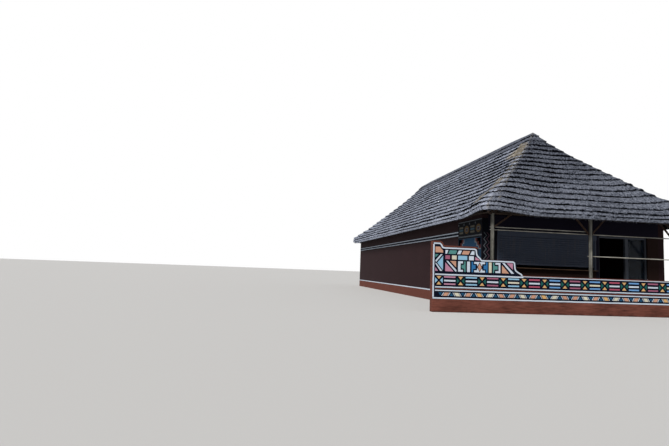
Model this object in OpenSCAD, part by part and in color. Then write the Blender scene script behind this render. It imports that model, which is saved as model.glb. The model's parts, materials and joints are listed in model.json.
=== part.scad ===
// Thatched hut with hipped, bell-cast roof on masonry walls and a pole stoep,
// closed in front by a low garden wall with a stepped end. Millimetres, +Z up.
// Origin: ground level at the centre of the eaves in plan. The front faces -Y.

/* [Roof] */
// Width over the eaves, left to right
eave_w = 8200; // [7400:50:9400]
// Length over the eaves, front to back
eave_l = 22000; // [18000:100:26000]
// Height of the thatch underside at the eave
eave_z = 3100; // [2900:10:3400]
// Slope of the bell-cast foot of the roof, degrees
foot_pitch = 36; // [33:1:38]
// Depth of the bell-cast foot in plan
foot_run = 1000; // [900:10:1200]
// Slope of the main roof, degrees
main_pitch = 43; // [41:0.5:46]
// Slope of the thickened top of the roof, degrees
top_pitch = 45.5; // [45:0.5:50]
// Depth in plan of that thickened top
top_run = 1100; // [900:10:1300]

/* [Thatch] */
// Thatch thickness, square to the slope
thatch_t = 200; // [150:5:250]
// Number of stepped courses below the ridge cap
courses = 14; // [8:1:18]
// Number of those courses on the bell-cast foot
foot_courses = 3; // [2:1:4]
// Step at the butt of each course
butt_step = 65; // [30:5:90]
// Share of the step that is lost at the hips
hip_soft = 0.6; // [0:0.05:0.8]
// Lean-in of the eave face from its top edge to its bottom edge
eave_lean = 70; // [30:5:120]
// Lip of the lowest layer in front of the first butt
eave_lip = 60; // [45:5:80]
// Radius of the eave corners in plan
corner_r = 500; // [200:10:700]
// Rise of the thatch at the eave corners
corner_lift = 150; // [0:10:160]
// Length along the eave over which the corner rises
lift_reach = 2000; // [1000:50:2400]
// Depth up the roof over which the rise of the hips dies out
lift_run = 3500; // [2000:50:3600]
// Depth of the ridge cap in plan, each side of the ridge
cap_run = 400; // [300:10:600]
// Number of layers of the ridge cap
cap_layers = 3; // [1:1:4]
// Thickness of one layer of the ridge cap, square to the slope
cap_t = 30; // [20:2:50]

/* [Roof poles] */
// Diameter of the rafters
rafter_d = 80; // [70:5:110]
// Diameter of the wall plates and the ridge pole
plate_d = 100; // [90:5:130]
// Depth that a rafter is notched over a plate
notch = 35; // [15:5:40]
// Diameter of the thatching battens
batten_d = 28; // [20:2:38]
// Diameter of the eave sprockets
sprocket_d = 70; // [60:5:80]
// Diameter of the tie beams and king posts
tie_d = 110; // [90:5:140]
// Number of rafters along each long side
side_rafters = 20; // [16:2:24]
// Number of rafters across each end
end_rafters = 6; // [4:2:8]
// Spacing of the battens in plan
batten_step = 380; // [300:10:500]

/* [Posts] */
// Distance of the post line from the eave, in plan
post_inset = 550; // [500:10:650]
// Diameter of the stoep posts
post_d = 130; // [110:5:160]
// Sideways offset of the middle post from the centre line
mid_post_x = -60; // [-300:10:300]
// Diameter of the knee braces
brace_d = 75; // [60:5:90]
// Height at which the middle braces' lines meet their post's centre line
mid_brace_z = 2600; // [2400:10:2700]
// Slope of the middle braces, degrees
mid_brace_pitch = 47; // [42:1:55]
// Height at which the left brace's line meets its post's centre line
left_brace_z = 2700; // [2400:10:2800]
// Slope of the left brace, degrees
left_brace_pitch = 36; // [34:1:55]
// Height at which the right brace's line meets its post's centre line
right_brace_z = 2070; // [2000:10:2700]
// Slope of the right brace, degrees
right_brace_pitch = 48; // [44:1:55]
// Diameter of the display rails
rail_d = 45; // [30:5:60]
// Height of the rail that runs across both bays
rail_z = 2650; // [2500:10:2700]
// Rise from that rail to the second rail of the left bay
rail_gap = 90; // [70:5:150]
// Height of the lower rail of the right bay
low_rail_z = 1920; // [1500:10:2200]

/* [Walls] */
// Thickness of the hut's walls
wall_t = 220; // [150:10:300]
// Distance from the post line to the front wall
stoep_d = 850; // [700:10:1200]
// Height of the floors above the ground
floor_z = 250; // [100:10:350]

/* [Hatch] */
// Width of the pier left of the hatch
left_pier_w = 323; // [200:1:500]
// Height of the counter's top
counter_z = 1470; // [1200:10:1500]
// Thickness of the counter shelf
counter_t = 30; // [20:2:50]
// Overhang of the counter in front of the wall
counter_over = 120; // [0:10:300]
// Height of the shutter's lower edge
shutter_z = 1560; // [1520:10:2000]
// Height of the underside of the shutter box
box_z = 2530; // [2300:10:2600]
// Height of the underside of the wall over the openings
head_z = 2700; // [2650:10:2800]
// Height of one shutter slat
slat_h = 75; // [50:5:100]
// Bulge of one shutter slat
slat_bulge = 9; // [4:1:14]
// Thickness of the shutter curtain behind the bulges
curtain_t = 10; // [6:1:20]
// Width of a shutter guide
guide_w = 60; // [40:5:90]
// Depth of a shutter guide
guide_d = 70; // [50:5:90]

/* [Entrance] */
// Width of the pier between hatch and entrance
mid_pier_w = 120; // [100:10:300]
// Width of the pier right of the entrance
right_pier_w = 443; // [200:1:600]
// Clear width of the doorway
door_w = 1020; // [800:10:1200]
// Clear width of the side light
light_w = 670; // [400:10:900]
// Width of the outer frame members
frame_w = 60; // [40:5:80]
// Width of the member between doorway and side light
mullion_w = 120; // [60:5:120]
// Depth of the frame
frame_d = 90; // [60:5:120]
// Height of the side light's middle rail above the floor
light_rail = 850; // [700:10:1200]
// Thickness of the glass
glass_t = 8; // [4:1:12]

/* [Garden wall] */
// Thickness of the garden wall
garden_t = 230; // [150:10:300]
// Distance from its back face to the post line
garden_gap = 195; // [120:5:300]
// Height of its low run
low_h = 1200; // [900:10:1250]
// Height of its plinth
plinth_h = 400; // [200:10:500]
// Thickness of the coping
coping_t = 30; // [20:5:60]
// Overhang of the coping
coping_over = 12; // [5:1:30]
// Distance that it runs out past the left eave
garden_out = 1600; // [1300:10:2000]
// Height of its stepped end, top step
step_h1 = 2170; // [2120:10:2300]
// Height of the second step
step_h2 = 2035; // [1950:5:2060]
// Height of the third step
step_h3 = 1655; // [1600:5:1750]
// Length of the top step before its ogee
step_l1 = 230; // [150:10:300]
// Length of the second step from its ogee to its nose
step_l2 = 1020; // [800:10:1100]
// Length of the third step from its cove to its nose
step_l3 = 1020; // [800:10:1100]
// Radius of the step noses
nose_r = 80; // [40:5:100]
// Width of the coves below the noses
cove_w = 175; // [120:5:250]
// Height of the coves below the noses
cove_h = 150; // [120:5:180]

/* [Hidden] */
smooth = 32;
big = 30000;

// Roof surfaces: d is the distance in from the eave, in plan
half_w = eave_w / 2;
half_l = eave_l / 2;
run = half_w;
cap_d = run - cap_run;
knee_d = run - top_run;
foot_rise = tan(foot_pitch);
main_rise = tan(main_pitch);
foot_thick = thatch_t / cos(foot_pitch);
main_thick = thatch_t / cos(main_pitch);
function foot_under(d) = eave_z + (d - eave_lean) * foot_rise;
function main_under(d) = foot_under(foot_run) + (d - foot_run) * main_rise;
function under(d) = d < foot_run ? foot_under(d) : main_under(d);
function thick(d) = d < foot_run ? foot_thick + (main_thick - foot_thick) * d / foot_run : main_thick;
function over(d) = d <= knee_d ? under(d) + thick(d) : over(knee_d) + (d - knee_d) * tan(top_pitch);
function pitch(d) = d < foot_run ? foot_pitch : d <= knee_d ? main_pitch : top_pitch;
function top_r(d) = corner_r * (1 - d / run);
function under_r(d) = corner_r * max(0, 1 - d / foot_run);
function swell(x, reach) = x >= reach ? 0 : (1 + cos(180 * x / reach)) / 2;

// Pole lines below the roof surfaces
rafter_drop = (batten_d + rafter_d / 2) / cos(main_pitch);
plate_drop = ((rafter_d + plate_d) / 2 - notch) / cos(main_pitch);
sprocket_drop = (batten_d + sprocket_d / 2) / cos(foot_pitch);
function rafter_axis(d) = main_under(d) - rafter_drop;
sprocket_tail = eave_lean + (batten_d + sprocket_d) / sin(foot_pitch);
function sprocket_point(u, d) = [u, d, foot_under(d) - sprocket_drop];
front_plate_z = rafter_axis(post_inset) - plate_drop;
side_plate_z = front_plate_z + plate_d;
side_plate_d = post_inset + plate_d / main_rise;
ridge_pole_z = rafter_axis(run) - plate_drop;
side_step = (eave_l - 2 * foot_run) / side_rafters;
end_step = (eave_w - 2 * foot_run) / end_rafters;

// Plan lines
post_y = -half_l + post_inset;
side_plate_x = half_w - side_plate_d;
back_plate_y = half_l - side_plate_d;
wall_out_x = side_plate_x + plate_d / 2;
wall_in_x = wall_out_x - wall_t;
wall_back_y = back_plate_y + plate_d / 2;
wall_top = side_plate_z - plate_d / 2;
front_y = post_y + stoep_d;
front_in_y = front_y + wall_t;
corner_post_x = half_w - post_inset;
garden_back_y = post_y - garden_gap;
garden_front_y = garden_back_y - garden_t;
floor_x = corner_post_x + post_d;
tie_z = side_plate_z + (plate_d + tie_d) / 2;
tie_y = 3 * side_step;
rail_y = post_y + (post_d + rail_d) / 2;

// Front wall lines
entrance_right = wall_in_x - right_pier_w;
light_right = entrance_right - frame_w;
light_left = light_right - light_w;
door_right = light_left - mullion_w;
door_left = door_right - door_w;
entrance_left = door_left - frame_w;
hatch_right = entrance_left - mid_pier_w;
hatch_left = -wall_in_x + left_pier_w;
hatch_w = hatch_right - hatch_left;
frame_y = front_y + (wall_t - frame_d) / 2;
guide_y = front_y - 10;
curtain_y = guide_y + guide_d / 2;

// Garden wall outline
ogee_w = 150;
garden_left = -half_w - garden_out;
steps_right = garden_left + step_l1 + ogee_w + step_l2 + nose_r + cove_w + step_l3 + nose_r + cove_w;

// A straight pole between two points
module pole(a, b, d) {
    v = b - a;
    translate(a)
        rotate([0, acos(v.z / norm(v)), atan2(v.y, v.x)])
            cylinder(h = norm(v), d = d, $fn = smooth);
}

// A box from its low corner to its high corner
module block(a, b) {
    translate(a)
        cube(b - a);
}

// The four faces of the roof, each drawn with its eave along X and its slope rising along +Y
module on_face(side) {
    turn = side == "front" ? 0 : side == "right" ? 90 : side == "back" ? 180 : 270;
    reach = side == "front" || side == "back" ? half_l : half_w;
    rotate([0, 0, turn])
        translate([0, -reach, 0])
            children();
}

function half_eave(side) = side == "front" || side == "back" ? half_w : half_l;

// What lies between a face's two hips, in plan, held back from the hip lines by a gap
module between_hips(side, gap = 0) {
    h = half_eave(side);
    g = gap * sqrt(2);
    linear_extrude(height = big)
        polygon([[-h + g, 0], [h - g, 0], [h - run, run - g], [run - h, run - g]]);
}

// Thatch

// Place of each butt, measured in from the eave in plan
function butt_d(i) = i == 0 ? eave_lip
    : i <= foot_courses ? foot_run * i / foot_courses
    : foot_run + (cap_d - foot_run) * (i - foot_courses) / (courses - foot_courses);

// A point of a cross-section: distance in, height, corner radius, rise at the corner, and the
// way out to where it stands proud, which lessens round the hips
function top_point(d, proud = 0) = let (a = pitch(d))
    [d, over(d), top_r(d), corner_lift * swell(d, lift_run), [-proud * sin(a), proud * cos(a)]];
function under_point(d) = [d, under(d), under_r(d), corner_lift * swell(d, foot_run), [0, 0]];

// Ring of one cross-section of the thatch, from the eave up the top and back down the underside
function course_ring() = concat(
    [top_point(0)],
    [for (i = [0 : courses - 1]) each [top_point(butt_d(i)), top_point(butt_d(i), butt_step)]],
    [top_point(cap_d), top_point(run), under_point(run)],
    [for (k = [4 : -1 : 0]) under_point(eave_lean + (foot_run - eave_lean) * k / 4)]);

// Stations along an eave: turn of the corner arc, and share of the straight part
function stations(h) = let (
    s = h - corner_r,
    marks = [for (e = [0 : 0.2 : 0.8]) e * lift_reach])
    concat(
        [for (a = [45, 30, 15]) [-a, -1]],
        [for (e = marks) [0, -1 + e / s]],
        [[0, 0]],
        [for (k = [len(marks) - 1 : -1 : 0]) [0, 1 - marks[k] / s]],
        [for (a = [15, 30, 45]) [a, 1]]);

// A point of the thatch: station c, cross-section point p, on an eave of half-length h
function roof_point(h, c, p) = let (
    out = p[4] * (1 - hip_soft * abs(c[0]) / 45),
    d = p[0] + out[0],
    s = max(0, h - d - p[2]),
    u = c[1] * s + p[2] * sin(c[0]),
    v = d + p[2] * (1 - cos(c[0])))
    [u, v, p[1] + out[1] + p[3] * swell(h - d - abs(u), lift_reach)];

// A closed body swept through the stations of one face, mitred at both hips.
// On an end face the points on the ridge are one point for all stations.
module mitred_sweep(h, ring) {
    c = stations(h);
    n = len(ring);
    m = len(c);
    function at(j, k) = h == run && ring[k][0] == run ? k : j * n + k;
    skin = [for (j = [0 : m - 2], k = [0 : n - 1]) let (
        a = at(j, k), b = at(j, (k + 1) % n), d = at(j + 1, (k + 1) % n), e = at(j + 1, k))
        each [[a, b, d], [a, d, e]]];
    polyhedron(
        points = [for (s = c, p = ring) roof_point(h, s, p)],
        faces = concat(
            [for (t = skin) if (t[0] != t[1] && t[1] != t[2] && t[2] != t[0]) t],
            [[for (k = [n - 1 : -1 : 0]) at(0, k)]],
            [[for (k = [0 : n - 1]) at(m - 1, k)]]));
}

module thatch(side) {
    color([0.42, 0.42, 0.44])
        on_face(side)
            mitred_sweep(half_eave(side), course_ring());
}

// Rounded outline of the roof at a cross-section point, anticlockwise from the right
function outline(p) = [for (q = [0 : 3], a = [0 : 15 : 90]) let (
    sx = q == 0 || q == 3 ? 1 : -1,
    sy = q < 2 ? 1 : -1)
    [sx * (half_w - p[0] - p[4][0] - p[2]) + p[2] * cos(90 * q + a),
     sy * (half_l - p[0] - p[4][0] - p[2]) + p[2] * sin(90 * q + a),
     p[1] + p[4][1]]];

// Layers of mortar, each set back on the one below and closed by the ridge line
module ridge_cap() {
    rims = [for (k = [0 : cap_layers - 1], top = [0, 1])
        top_point(cap_d + cap_run * k / cap_layers, cap_t * (k + top))];
    m = 28;
    last = len(rims) - 1;
    end_y = half_l - run;
    low_ridge = m * len(rims);
    high_ridge = low_ridge + 2;
    low_z = over(run);
    high_z = low_z + cap_t * cap_layers / cos(top_pitch);
    function end_of(j) = j % m < m / 2 ? 0 : 1;
    function skin(i, j) = let (k = (j + 1) % m)
        [[i * m + j, i * m + m + j, i * m + m + k], [i * m + j, i * m + m + k, i * m + k]];
    function lid(i, j, ridge) = let (k = (j + 1) % m, a = ridge + end_of(j), b = ridge + end_of(k))
        a == b ? [[i * m + j, a, i * m + k]] : [[i * m + j, a, b], [i * m + j, b, i * m + k]];
    color([0.50, 0.48, 0.44])
        polyhedron(
            points = concat(
                [for (p = rims) each outline(p)],
                [[0, end_y, low_z], [0, -end_y, low_z], [0, end_y, high_z], [0, -end_y, high_z]]),
            faces = concat(
                [for (i = [0 : last - 1], j = [0 : m - 1]) each skin(i, j)],
                [for (j = [0 : m - 1]) each lid(last, j, high_ridge)],
                [for (j = [0 : m - 1]) for (t = lid(0, j, low_ridge)) [t[2], t[1], t[0]]]));
}

// Roof poles

pole_tint = [0.45, 0.40, 0.33];

function rafter_line(count, step) = [for (i = [0 : count - 1]) (i - (count - 1) / 2) * step];
function face_rafters(side) = side == "front" || side == "back"
    ? rafter_line(end_rafters, end_step) : rafter_line(side_rafters, side_step);
function foot_d(side) = (side == "front" ? post_inset : side_plate_d) - plate_d / 2;
function plate_d_of(side) = side == "front" ? post_inset : side_plate_d;
function plate_z_of(side) = side == "front" ? front_plate_z : side_plate_z;

// A plate's own bore through the rafters that are notched over it
module plate_notch(side) {
    d = plate_d_of(side);
    z = plate_z_of(side);
    on_face(side)
        pole([-big / 2, d, z], [big / 2, d, z], plate_d);
}

module ridge_notch() {
    pole([0, -half_l, ridge_pole_z], [0, half_l, ridge_pole_z], plate_d);
}

module rafters(side) {
    low = foot_d(side);
    high = run + rafter_d;
    color(pole_tint)
        difference() {
            on_face(side)
                intersection() {
                    for (u = face_rafters(side))
                        pole([u, low, rafter_axis(low)], [u, high, rafter_axis(high)], rafter_d);
                    between_hips(side, rafter_d / 2);
                    block([-big / 2, 0, 0], [big / 2, run, big]);
                }
            plate_notch(side);
            ridge_notch();
        }
}

module hip_rafters() {
    color(pole_tint)
        difference() {
            for (sx = [-1, 1], sy = [-1, 1])
                hip_rafter(sx, sy);
            for (side = ["front", "right", "back", "left"])
                plate_notch(side);
            ridge_notch();
        }
}

// One hip, cut plumb where it meets its neighbour over the end of the ridge pole
module hip_rafter(sx, sy) {
    foot = (sy < 0 ? post_inset : side_plate_d) - plate_d / 2;
    intersection() {
        pole([sx * (half_w - foot), sy * (half_l - foot), rafter_axis(foot)],
            [-sx * rafter_d, sy * (half_l - run - rafter_d), rafter_axis(run + rafter_d)], rafter_d);
        block([sx < 0 ? -half_w : 0, -half_l, 0], [sx < 0 ? 0 : half_w, half_l, big]);
    }
}

// Short poles that lie on the rafters and kick the eave out at the flatter foot pitch
module eave_sprockets() {
    color(pole_tint) {
        for (side = ["front", "right", "back", "left"])
            on_face(side)
                difference() {
                    for (u = face_rafters(side))
                        pole(sprocket_point(u, sprocket_tail), sprocket_point(u, foot_run), sprocket_d);
                    translate([-big / 2, run, main_under(run) - batten_d / cos(main_pitch)])
                        rotate([main_pitch, 0, 0])
                            translate([0, -big, -big])
                                cube([big, 2 * big, big]);
                }
        for (sx = [-1, 1], sy = [-1, 1])
            hip_sprocket(sx, sy);
    }
}

// The sprocket of an eave corner, saddled on its hip rafter, with its tail raised towards the lifted corner
module hip_sprocket(sx, sy) {
    turn = atan2(-sy, -sx) - 90;
    hip_slope = atan(main_rise / sqrt(2));
    tail_z = foot_under(sprocket_tail) - sprocket_drop + corner_lift / 4;
    translate([sx * half_w, sy * half_l, 0])
        rotate([0, 0, turn])
            difference() {
                pole([0, sprocket_tail * sqrt(2), tail_z],
                    [0, foot_run * sqrt(2), foot_under(foot_run) - sprocket_drop], sprocket_d);
                hip_line(rafter_d);
                translate([-big / 2, 0, rafter_axis(0)])
                    rotate([hip_slope, 0, 0])
                        translate([0, -big, -big])
                            cube([big, 2 * big, big]);
            }
}

// A pole along a hip rafter's line, in the hip's own vertical plane
module hip_line(d) {
    pole([0, 0, rafter_axis(0)], [0, run * sqrt(2), rafter_axis(run)], d);
}

module thatch_battens() {
    color(pole_tint)
        for (side = ["front", "right", "back", "left"])
            on_face(side)
                intersection() {
                    for (d = [eave_lean * 3 : batten_step : run - batten_step / 2])
                        batten(side, d);
                    between_hips(side);
                }
}

module batten(side, d) {
    z = under(d) - batten_d / 2 / cos(pitch(d));
    reach = half_eave(side) - (d < foot_run ? d + under_r(d) : 0);
    pole([-reach, d, z], [reach, d, z], batten_d);
}

module ridge_pole() {
    end_y = half_l - run + plate_d;
    color(pole_tint)
        pole([0, -end_y, ridge_pole_z], [0, end_y, ridge_pole_z], plate_d);
}

module tie_beams() {
    color(pole_tint)
        for (k = [-3 : 3])
            pole([-side_plate_x, k * tie_y, tie_z], [side_plate_x, k * tie_y, tie_z], tie_d);
}

module king_posts() {
    color(pole_tint)
        difference() {
            for (k = [-2 : 2])
                pole([0, k * tie_y, tie_z], [0, k * tie_y, ridge_pole_z], tie_d);
            for (k = [-2 : 2])
                pole([-half_w, k * tie_y, tie_z], [half_w, k * tie_y, tie_z], tie_d);
            ridge_notch();
        }
}

module plate_front() {
    reach = corner_post_x + post_d;
    color(pole_tint)
        pole([-reach, post_y, front_plate_z], [reach, post_y, front_plate_z], plate_d);
}

module plate_side(sx) {
    x = sx * side_plate_x;
    color(pole_tint)
        pole([x, post_y - post_d, side_plate_z], [x, wall_back_y, side_plate_z], plate_d);
}

module plate_back() {
    reach = side_plate_x - plate_d / 2;
    color(pole_tint)
        pole([-reach, back_plate_y, side_plate_z], [reach, back_plate_y, side_plate_z], plate_d);
}

// Stoep posts, braces and rails

post_tint = [0.62, 0.60, 0.54];

module post(x) {
    color(post_tint)
        difference() {
            pole([x, post_y, floor_z], [x, post_y, front_plate_z], post_d);
            pole([x - post_d, post_y, front_plate_z], [x + post_d, post_y, front_plate_z], plate_d);
        }
}

module knee_braces() {
    color(post_tint)
        difference() {
            union() {
                brace(-corner_post_x, 1, left_brace_z, left_brace_pitch);
                brace(mid_post_x, -1, mid_brace_z, mid_brace_pitch);
                brace(mid_post_x, 1, mid_brace_z, mid_brace_pitch);
                brace(corner_post_x, -1, right_brace_z, right_brace_pitch);
            }
            for (x = [-corner_post_x, mid_post_x, corner_post_x])
                pole([x, post_y, floor_z], [x, post_y, front_plate_z], post_d);
            pole([-half_w, post_y, front_plate_z], [half_w, post_y, front_plate_z], plate_d);
        }
}

module brace(x, lean, z, slope) {
    reach = (front_plate_z - z) / tan(slope);
    pole([x, post_y, z], [x + lean * reach, post_y, front_plate_z], brace_d);
}

module display_rails() {
    color(post_tint) {
        rail(-corner_post_x, corner_post_x, rail_z);
        rail(-corner_post_x, mid_post_x, rail_z + rail_gap);
        rail(mid_post_x, corner_post_x, low_rail_z);
    }
}

module rail(x0, x1, z) {
    pole([x0 - rail_d, rail_y, z], [x1 + rail_d, rail_y, z], rail_d);
}

// Walls and floors

plaster = [0.35, 0.20, 0.17];

module wall_side(sx) {
    color(plaster)
        if (sx < 0)
            block([-wall_out_x, front_y, 0], [-wall_in_x, wall_back_y, wall_top]);
        else
            block([wall_in_x, front_y, 0], [wall_out_x, wall_back_y, wall_top]);
}

module wall_back() {
    color(plaster)
        block([-wall_in_x, wall_back_y - wall_t, 0], [wall_in_x, wall_back_y, wall_top]);
}

module hall_floor() {
    color([0.45, 0.42, 0.40])
        union() {
            block([-wall_in_x, front_in_y, 0], [wall_in_x, wall_back_y - wall_t, floor_z]);
            block([entrance_left, front_y, 0], [entrance_right, front_in_y, floor_z]);
        }
}

module stoep_floor() {
    color([0.48, 0.40, 0.37])
        block([-floor_x, garden_back_y, 0], [floor_x, front_y, floor_z]);
}

module front_wall(x0, x1, z0, z1) {
    color(plaster)
        block([x0, front_y, z0], [x1, front_in_y, z1]);
}

// Hatch

module shutter_curtain() {
    slats = ceil((box_z - shutter_z) / slat_h);
    step = (box_z - shutter_z) / slats;
    bulge = [for (i = [0 : slats - 1], a = [0, 30, 60, 90, 120, 150])
        [-curtain_t / 2 - slat_bulge * sin(a), shutter_z + step * (i + a / 180)]];
    color([0.85, 0.87, 0.88])
        translate([hatch_left + guide_w / 2, curtain_y, 0])
            rotate([90, 0, 90])
                linear_extrude(height = hatch_w - guide_w)
                    polygon(concat([[curtain_t / 2, shutter_z]], bulge,
                        [[-curtain_t / 2, box_z], [curtain_t / 2, box_z]]));
}

module shutter_box() {
    color([0.80, 0.82, 0.83])
        block([hatch_left, front_y - 40, box_z], [hatch_right, front_in_y, head_z]);
}

module shutter_guides() {
    slot = curtain_t + 2 * slat_bulge + 6;
    color([0.75, 0.77, 0.79])
        difference() {
            union() {
                block([hatch_left, guide_y, counter_z], [hatch_left + guide_w, guide_y + guide_d, box_z]);
                block([hatch_right - guide_w, guide_y, counter_z], [hatch_right, guide_y + guide_d, box_z]);
            }
            block([hatch_left + guide_w / 2 - 3, curtain_y - slot / 2, 0],
                [hatch_right - guide_w / 2 + 3, curtain_y + slot / 2, big]);
        }
}

module counter_shelf() {
    color([0.35, 0.30, 0.26])
        block([hatch_left, front_y - counter_over, counter_z - counter_t], [hatch_right, front_in_y, counter_z]);
}

// Entrance

module entrance_frame() {
    color([0.72, 0.74, 0.76])
        translate([0, frame_y + frame_d, 0])
            rotate([90, 0, 0])
                linear_extrude(height = frame_d)
                    difference() {
                        translate([entrance_left, floor_z])
                            square([entrance_right - entrance_left, head_z - floor_z]);
                        translate([door_left, floor_z - 1])
                            square([door_w, head_z - floor_z - frame_w + 1]);
                        translate([light_left, floor_z + frame_w])
                            square([light_w, light_rail - frame_w]);
                        translate([light_left, floor_z + light_rail + frame_w])
                            square([light_w, head_z - floor_z - light_rail - 2 * frame_w]);
                    }
}

module side_light_glass() {
    mid_y = frame_y + frame_d / 2;
    color([0.55, 0.65, 0.70]) {
        block([light_left, mid_y - glass_t / 2, floor_z + frame_w],
            [light_right, mid_y + glass_t / 2, floor_z + light_rail]);
        block([light_left, mid_y - glass_t / 2, floor_z + light_rail + frame_w],
            [light_right, mid_y + glass_t / 2, head_z - frame_w]);
    }
}

// Garden wall

function arc(c, rx, rz, a0, a1, n = 6) =
    [for (i = [0 : n]) let (a = a0 + (a1 - a0) * i / n) [c[0] + rx * cos(a), c[1] + rz * sin(a)]];

// A rounded nose at the end of a step, and the cove that flares out to the step below
function nose_and_cove(x, z_hi, z_lo) = concat(
    arc([x, z_hi - nose_r], nose_r, nose_r, 90, 0),
    arc([x + nose_r + cove_w, z_lo + cove_h], cove_w, cove_h, 180, 270));

function steps_outline() = let (
    x1 = garden_left + step_l1,
    x2 = x1 + ogee_w + step_l2,
    x3 = x2 + nose_r + cove_w + step_l3,
    mid = (step_h1 + step_h2) / 2,
    drop = (step_h1 - step_h2) / 2)
    concat(
        [[garden_left, step_h1]],
        arc([x1, mid], ogee_w / 2, drop, 90, 0),
        arc([x1 + ogee_w, mid], ogee_w / 2, drop, 180, 270),
        nose_and_cove(x2, step_h2, step_h3),
        nose_and_cove(x3, step_h3, low_h));

module garden_wall_steps() {
    color([0.55, 0.60, 0.70])
        translate([0, garden_back_y, 0])
            rotate([90, 0, 0])
                linear_extrude(height = garden_t)
                    polygon(concat([[garden_left, plinth_h]], steps_outline(), [[steps_right, plinth_h]]));
}

module garden_wall_low() {
    color([0.55, 0.60, 0.70])
        block([steps_right, garden_front_y, plinth_h], [half_w, garden_back_y, low_h - coping_t]);
}

module garden_wall_coping() {
    color([0.58, 0.33, 0.27])
        block([steps_right, garden_front_y - coping_over, low_h - coping_t],
            [half_w, garden_back_y + coping_over, low_h]);
}

module garden_wall_plinth() {
    color([0.58, 0.33, 0.27])
        block([garden_left, garden_front_y, 0], [half_w, garden_back_y, plinth_h]);
}

hall_floor();
stoep_floor();
wall_side(-1);  // wall_left
wall_side(1);  // wall_right
wall_back();
front_wall(-wall_in_x, hatch_left, 0, head_z);  // front_wall_left_pier
front_wall(hatch_left, hatch_right, 0, counter_z - counter_t);  // front_wall_under_hatch
front_wall(hatch_right, entrance_left, 0, head_z);  // front_wall_middle_pier
front_wall(entrance_right, wall_in_x, 0, head_z);  // front_wall_right_pier
front_wall(-wall_in_x, wall_in_x, head_z, wall_top);  // front_wall_head
shutter_curtain();
shutter_box();
shutter_guides();
counter_shelf();
entrance_frame();
side_light_glass();
garden_wall_plinth();
garden_wall_steps();
garden_wall_low();
garden_wall_coping();
post(-corner_post_x);  // post_left
post(mid_post_x);  // post_middle
post(corner_post_x);  // post_right
knee_braces();
display_rails();
plate_front();
plate_side(-1);  // plate_left
plate_side(1);  // plate_right
plate_back();
tie_beams();
king_posts();
ridge_pole();
hip_rafters();
rafters("front");  // rafters_front
rafters("back");  // rafters_back
rafters("left");  // rafters_left
rafters("right");  // rafters_right
eave_sprockets();
thatch_battens();
thatch("front");  // thatch_front
thatch("back");  // thatch_back
thatch("left");  // thatch_left
thatch("right");  // thatch_right
ridge_cap();
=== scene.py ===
"""Finishes for a thatched hut: stepped reed thatch, peeled poles and painted walls.

Laid out as an add-on and run as a script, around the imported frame. Metres throughout, +Z up, and the front
towards -Y.
"""

import json
import math
import random
from collections import namedtuple
from contextlib import contextmanager

import bmesh
import bpy
from bpy.props import FloatProperty, FloatVectorProperty, IntProperty, PointerProperty
from mathutils import Matrix, Vector, noise

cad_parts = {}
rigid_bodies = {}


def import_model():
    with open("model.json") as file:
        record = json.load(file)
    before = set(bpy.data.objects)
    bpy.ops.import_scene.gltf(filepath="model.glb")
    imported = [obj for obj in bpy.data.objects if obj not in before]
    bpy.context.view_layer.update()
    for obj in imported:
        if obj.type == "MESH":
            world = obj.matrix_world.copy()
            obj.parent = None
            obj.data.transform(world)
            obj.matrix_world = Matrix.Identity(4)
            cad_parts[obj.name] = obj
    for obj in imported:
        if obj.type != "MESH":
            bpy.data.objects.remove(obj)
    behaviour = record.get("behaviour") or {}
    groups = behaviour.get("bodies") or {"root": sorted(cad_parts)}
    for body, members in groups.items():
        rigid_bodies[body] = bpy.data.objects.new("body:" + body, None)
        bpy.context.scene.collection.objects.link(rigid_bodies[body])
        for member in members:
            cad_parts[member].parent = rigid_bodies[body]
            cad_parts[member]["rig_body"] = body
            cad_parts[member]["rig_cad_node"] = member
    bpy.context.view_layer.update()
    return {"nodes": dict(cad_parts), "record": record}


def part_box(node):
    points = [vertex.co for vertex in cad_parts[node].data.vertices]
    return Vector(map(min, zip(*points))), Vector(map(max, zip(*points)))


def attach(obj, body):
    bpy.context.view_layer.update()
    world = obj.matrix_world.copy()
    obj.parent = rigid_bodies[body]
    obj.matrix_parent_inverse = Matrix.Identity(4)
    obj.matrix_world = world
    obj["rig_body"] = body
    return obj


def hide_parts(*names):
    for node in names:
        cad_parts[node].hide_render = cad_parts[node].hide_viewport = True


bl_info = {
    "name": "Thatched hut",
    "version": (1, 0, 0),
    "blender": (4, 5, 0),
    "location": "View3D > Sidebar > Hut",
    "description": "Thatch, poles and painted walls for a thatched hut",
    "category": "Object",
}

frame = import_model()
NODES = frame["nodes"]
SIDES = ("front", "right", "back", "left")

EAVES = [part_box("thatch_" + side) for side in SIDES]
HALF_W = max(high.x for low, high in EAVES)
HALF_L = max(high.y for low, high in EAVES)
WALL_LOW, WALL_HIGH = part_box("wall_left")[0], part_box("wall_right")[1]
STEPS_LOW, STEPS_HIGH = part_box("garden_wall_steps")
PLINTH_LOW, PLINTH_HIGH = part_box("garden_wall_plinth")
COPING_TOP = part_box("garden_wall_coping")[1].z


# Settings


def metres(name, default, description):
    return FloatProperty(
        name=name, description=description, default=default, min=0, unit="LENGTH", precision=3)


def slope(name, degrees, description):
    return FloatProperty(name=name, description=description, default=math.radians(degrees), subtype="ANGLE")


def factor(name, default, description):
    return FloatProperty(name=name, description=description, default=default, min=0, max=1, subtype="FACTOR")


def whole_number(name, default, least, description):
    return IntProperty(name=name, description=description, default=default, min=least)


def paint(name, default, description):
    shade = [c / 255 for c in default]
    return FloatVectorProperty(
        name=name, description=description, default=shade, size=3, min=0, max=1, subtype="COLOR_GAMMA")


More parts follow.
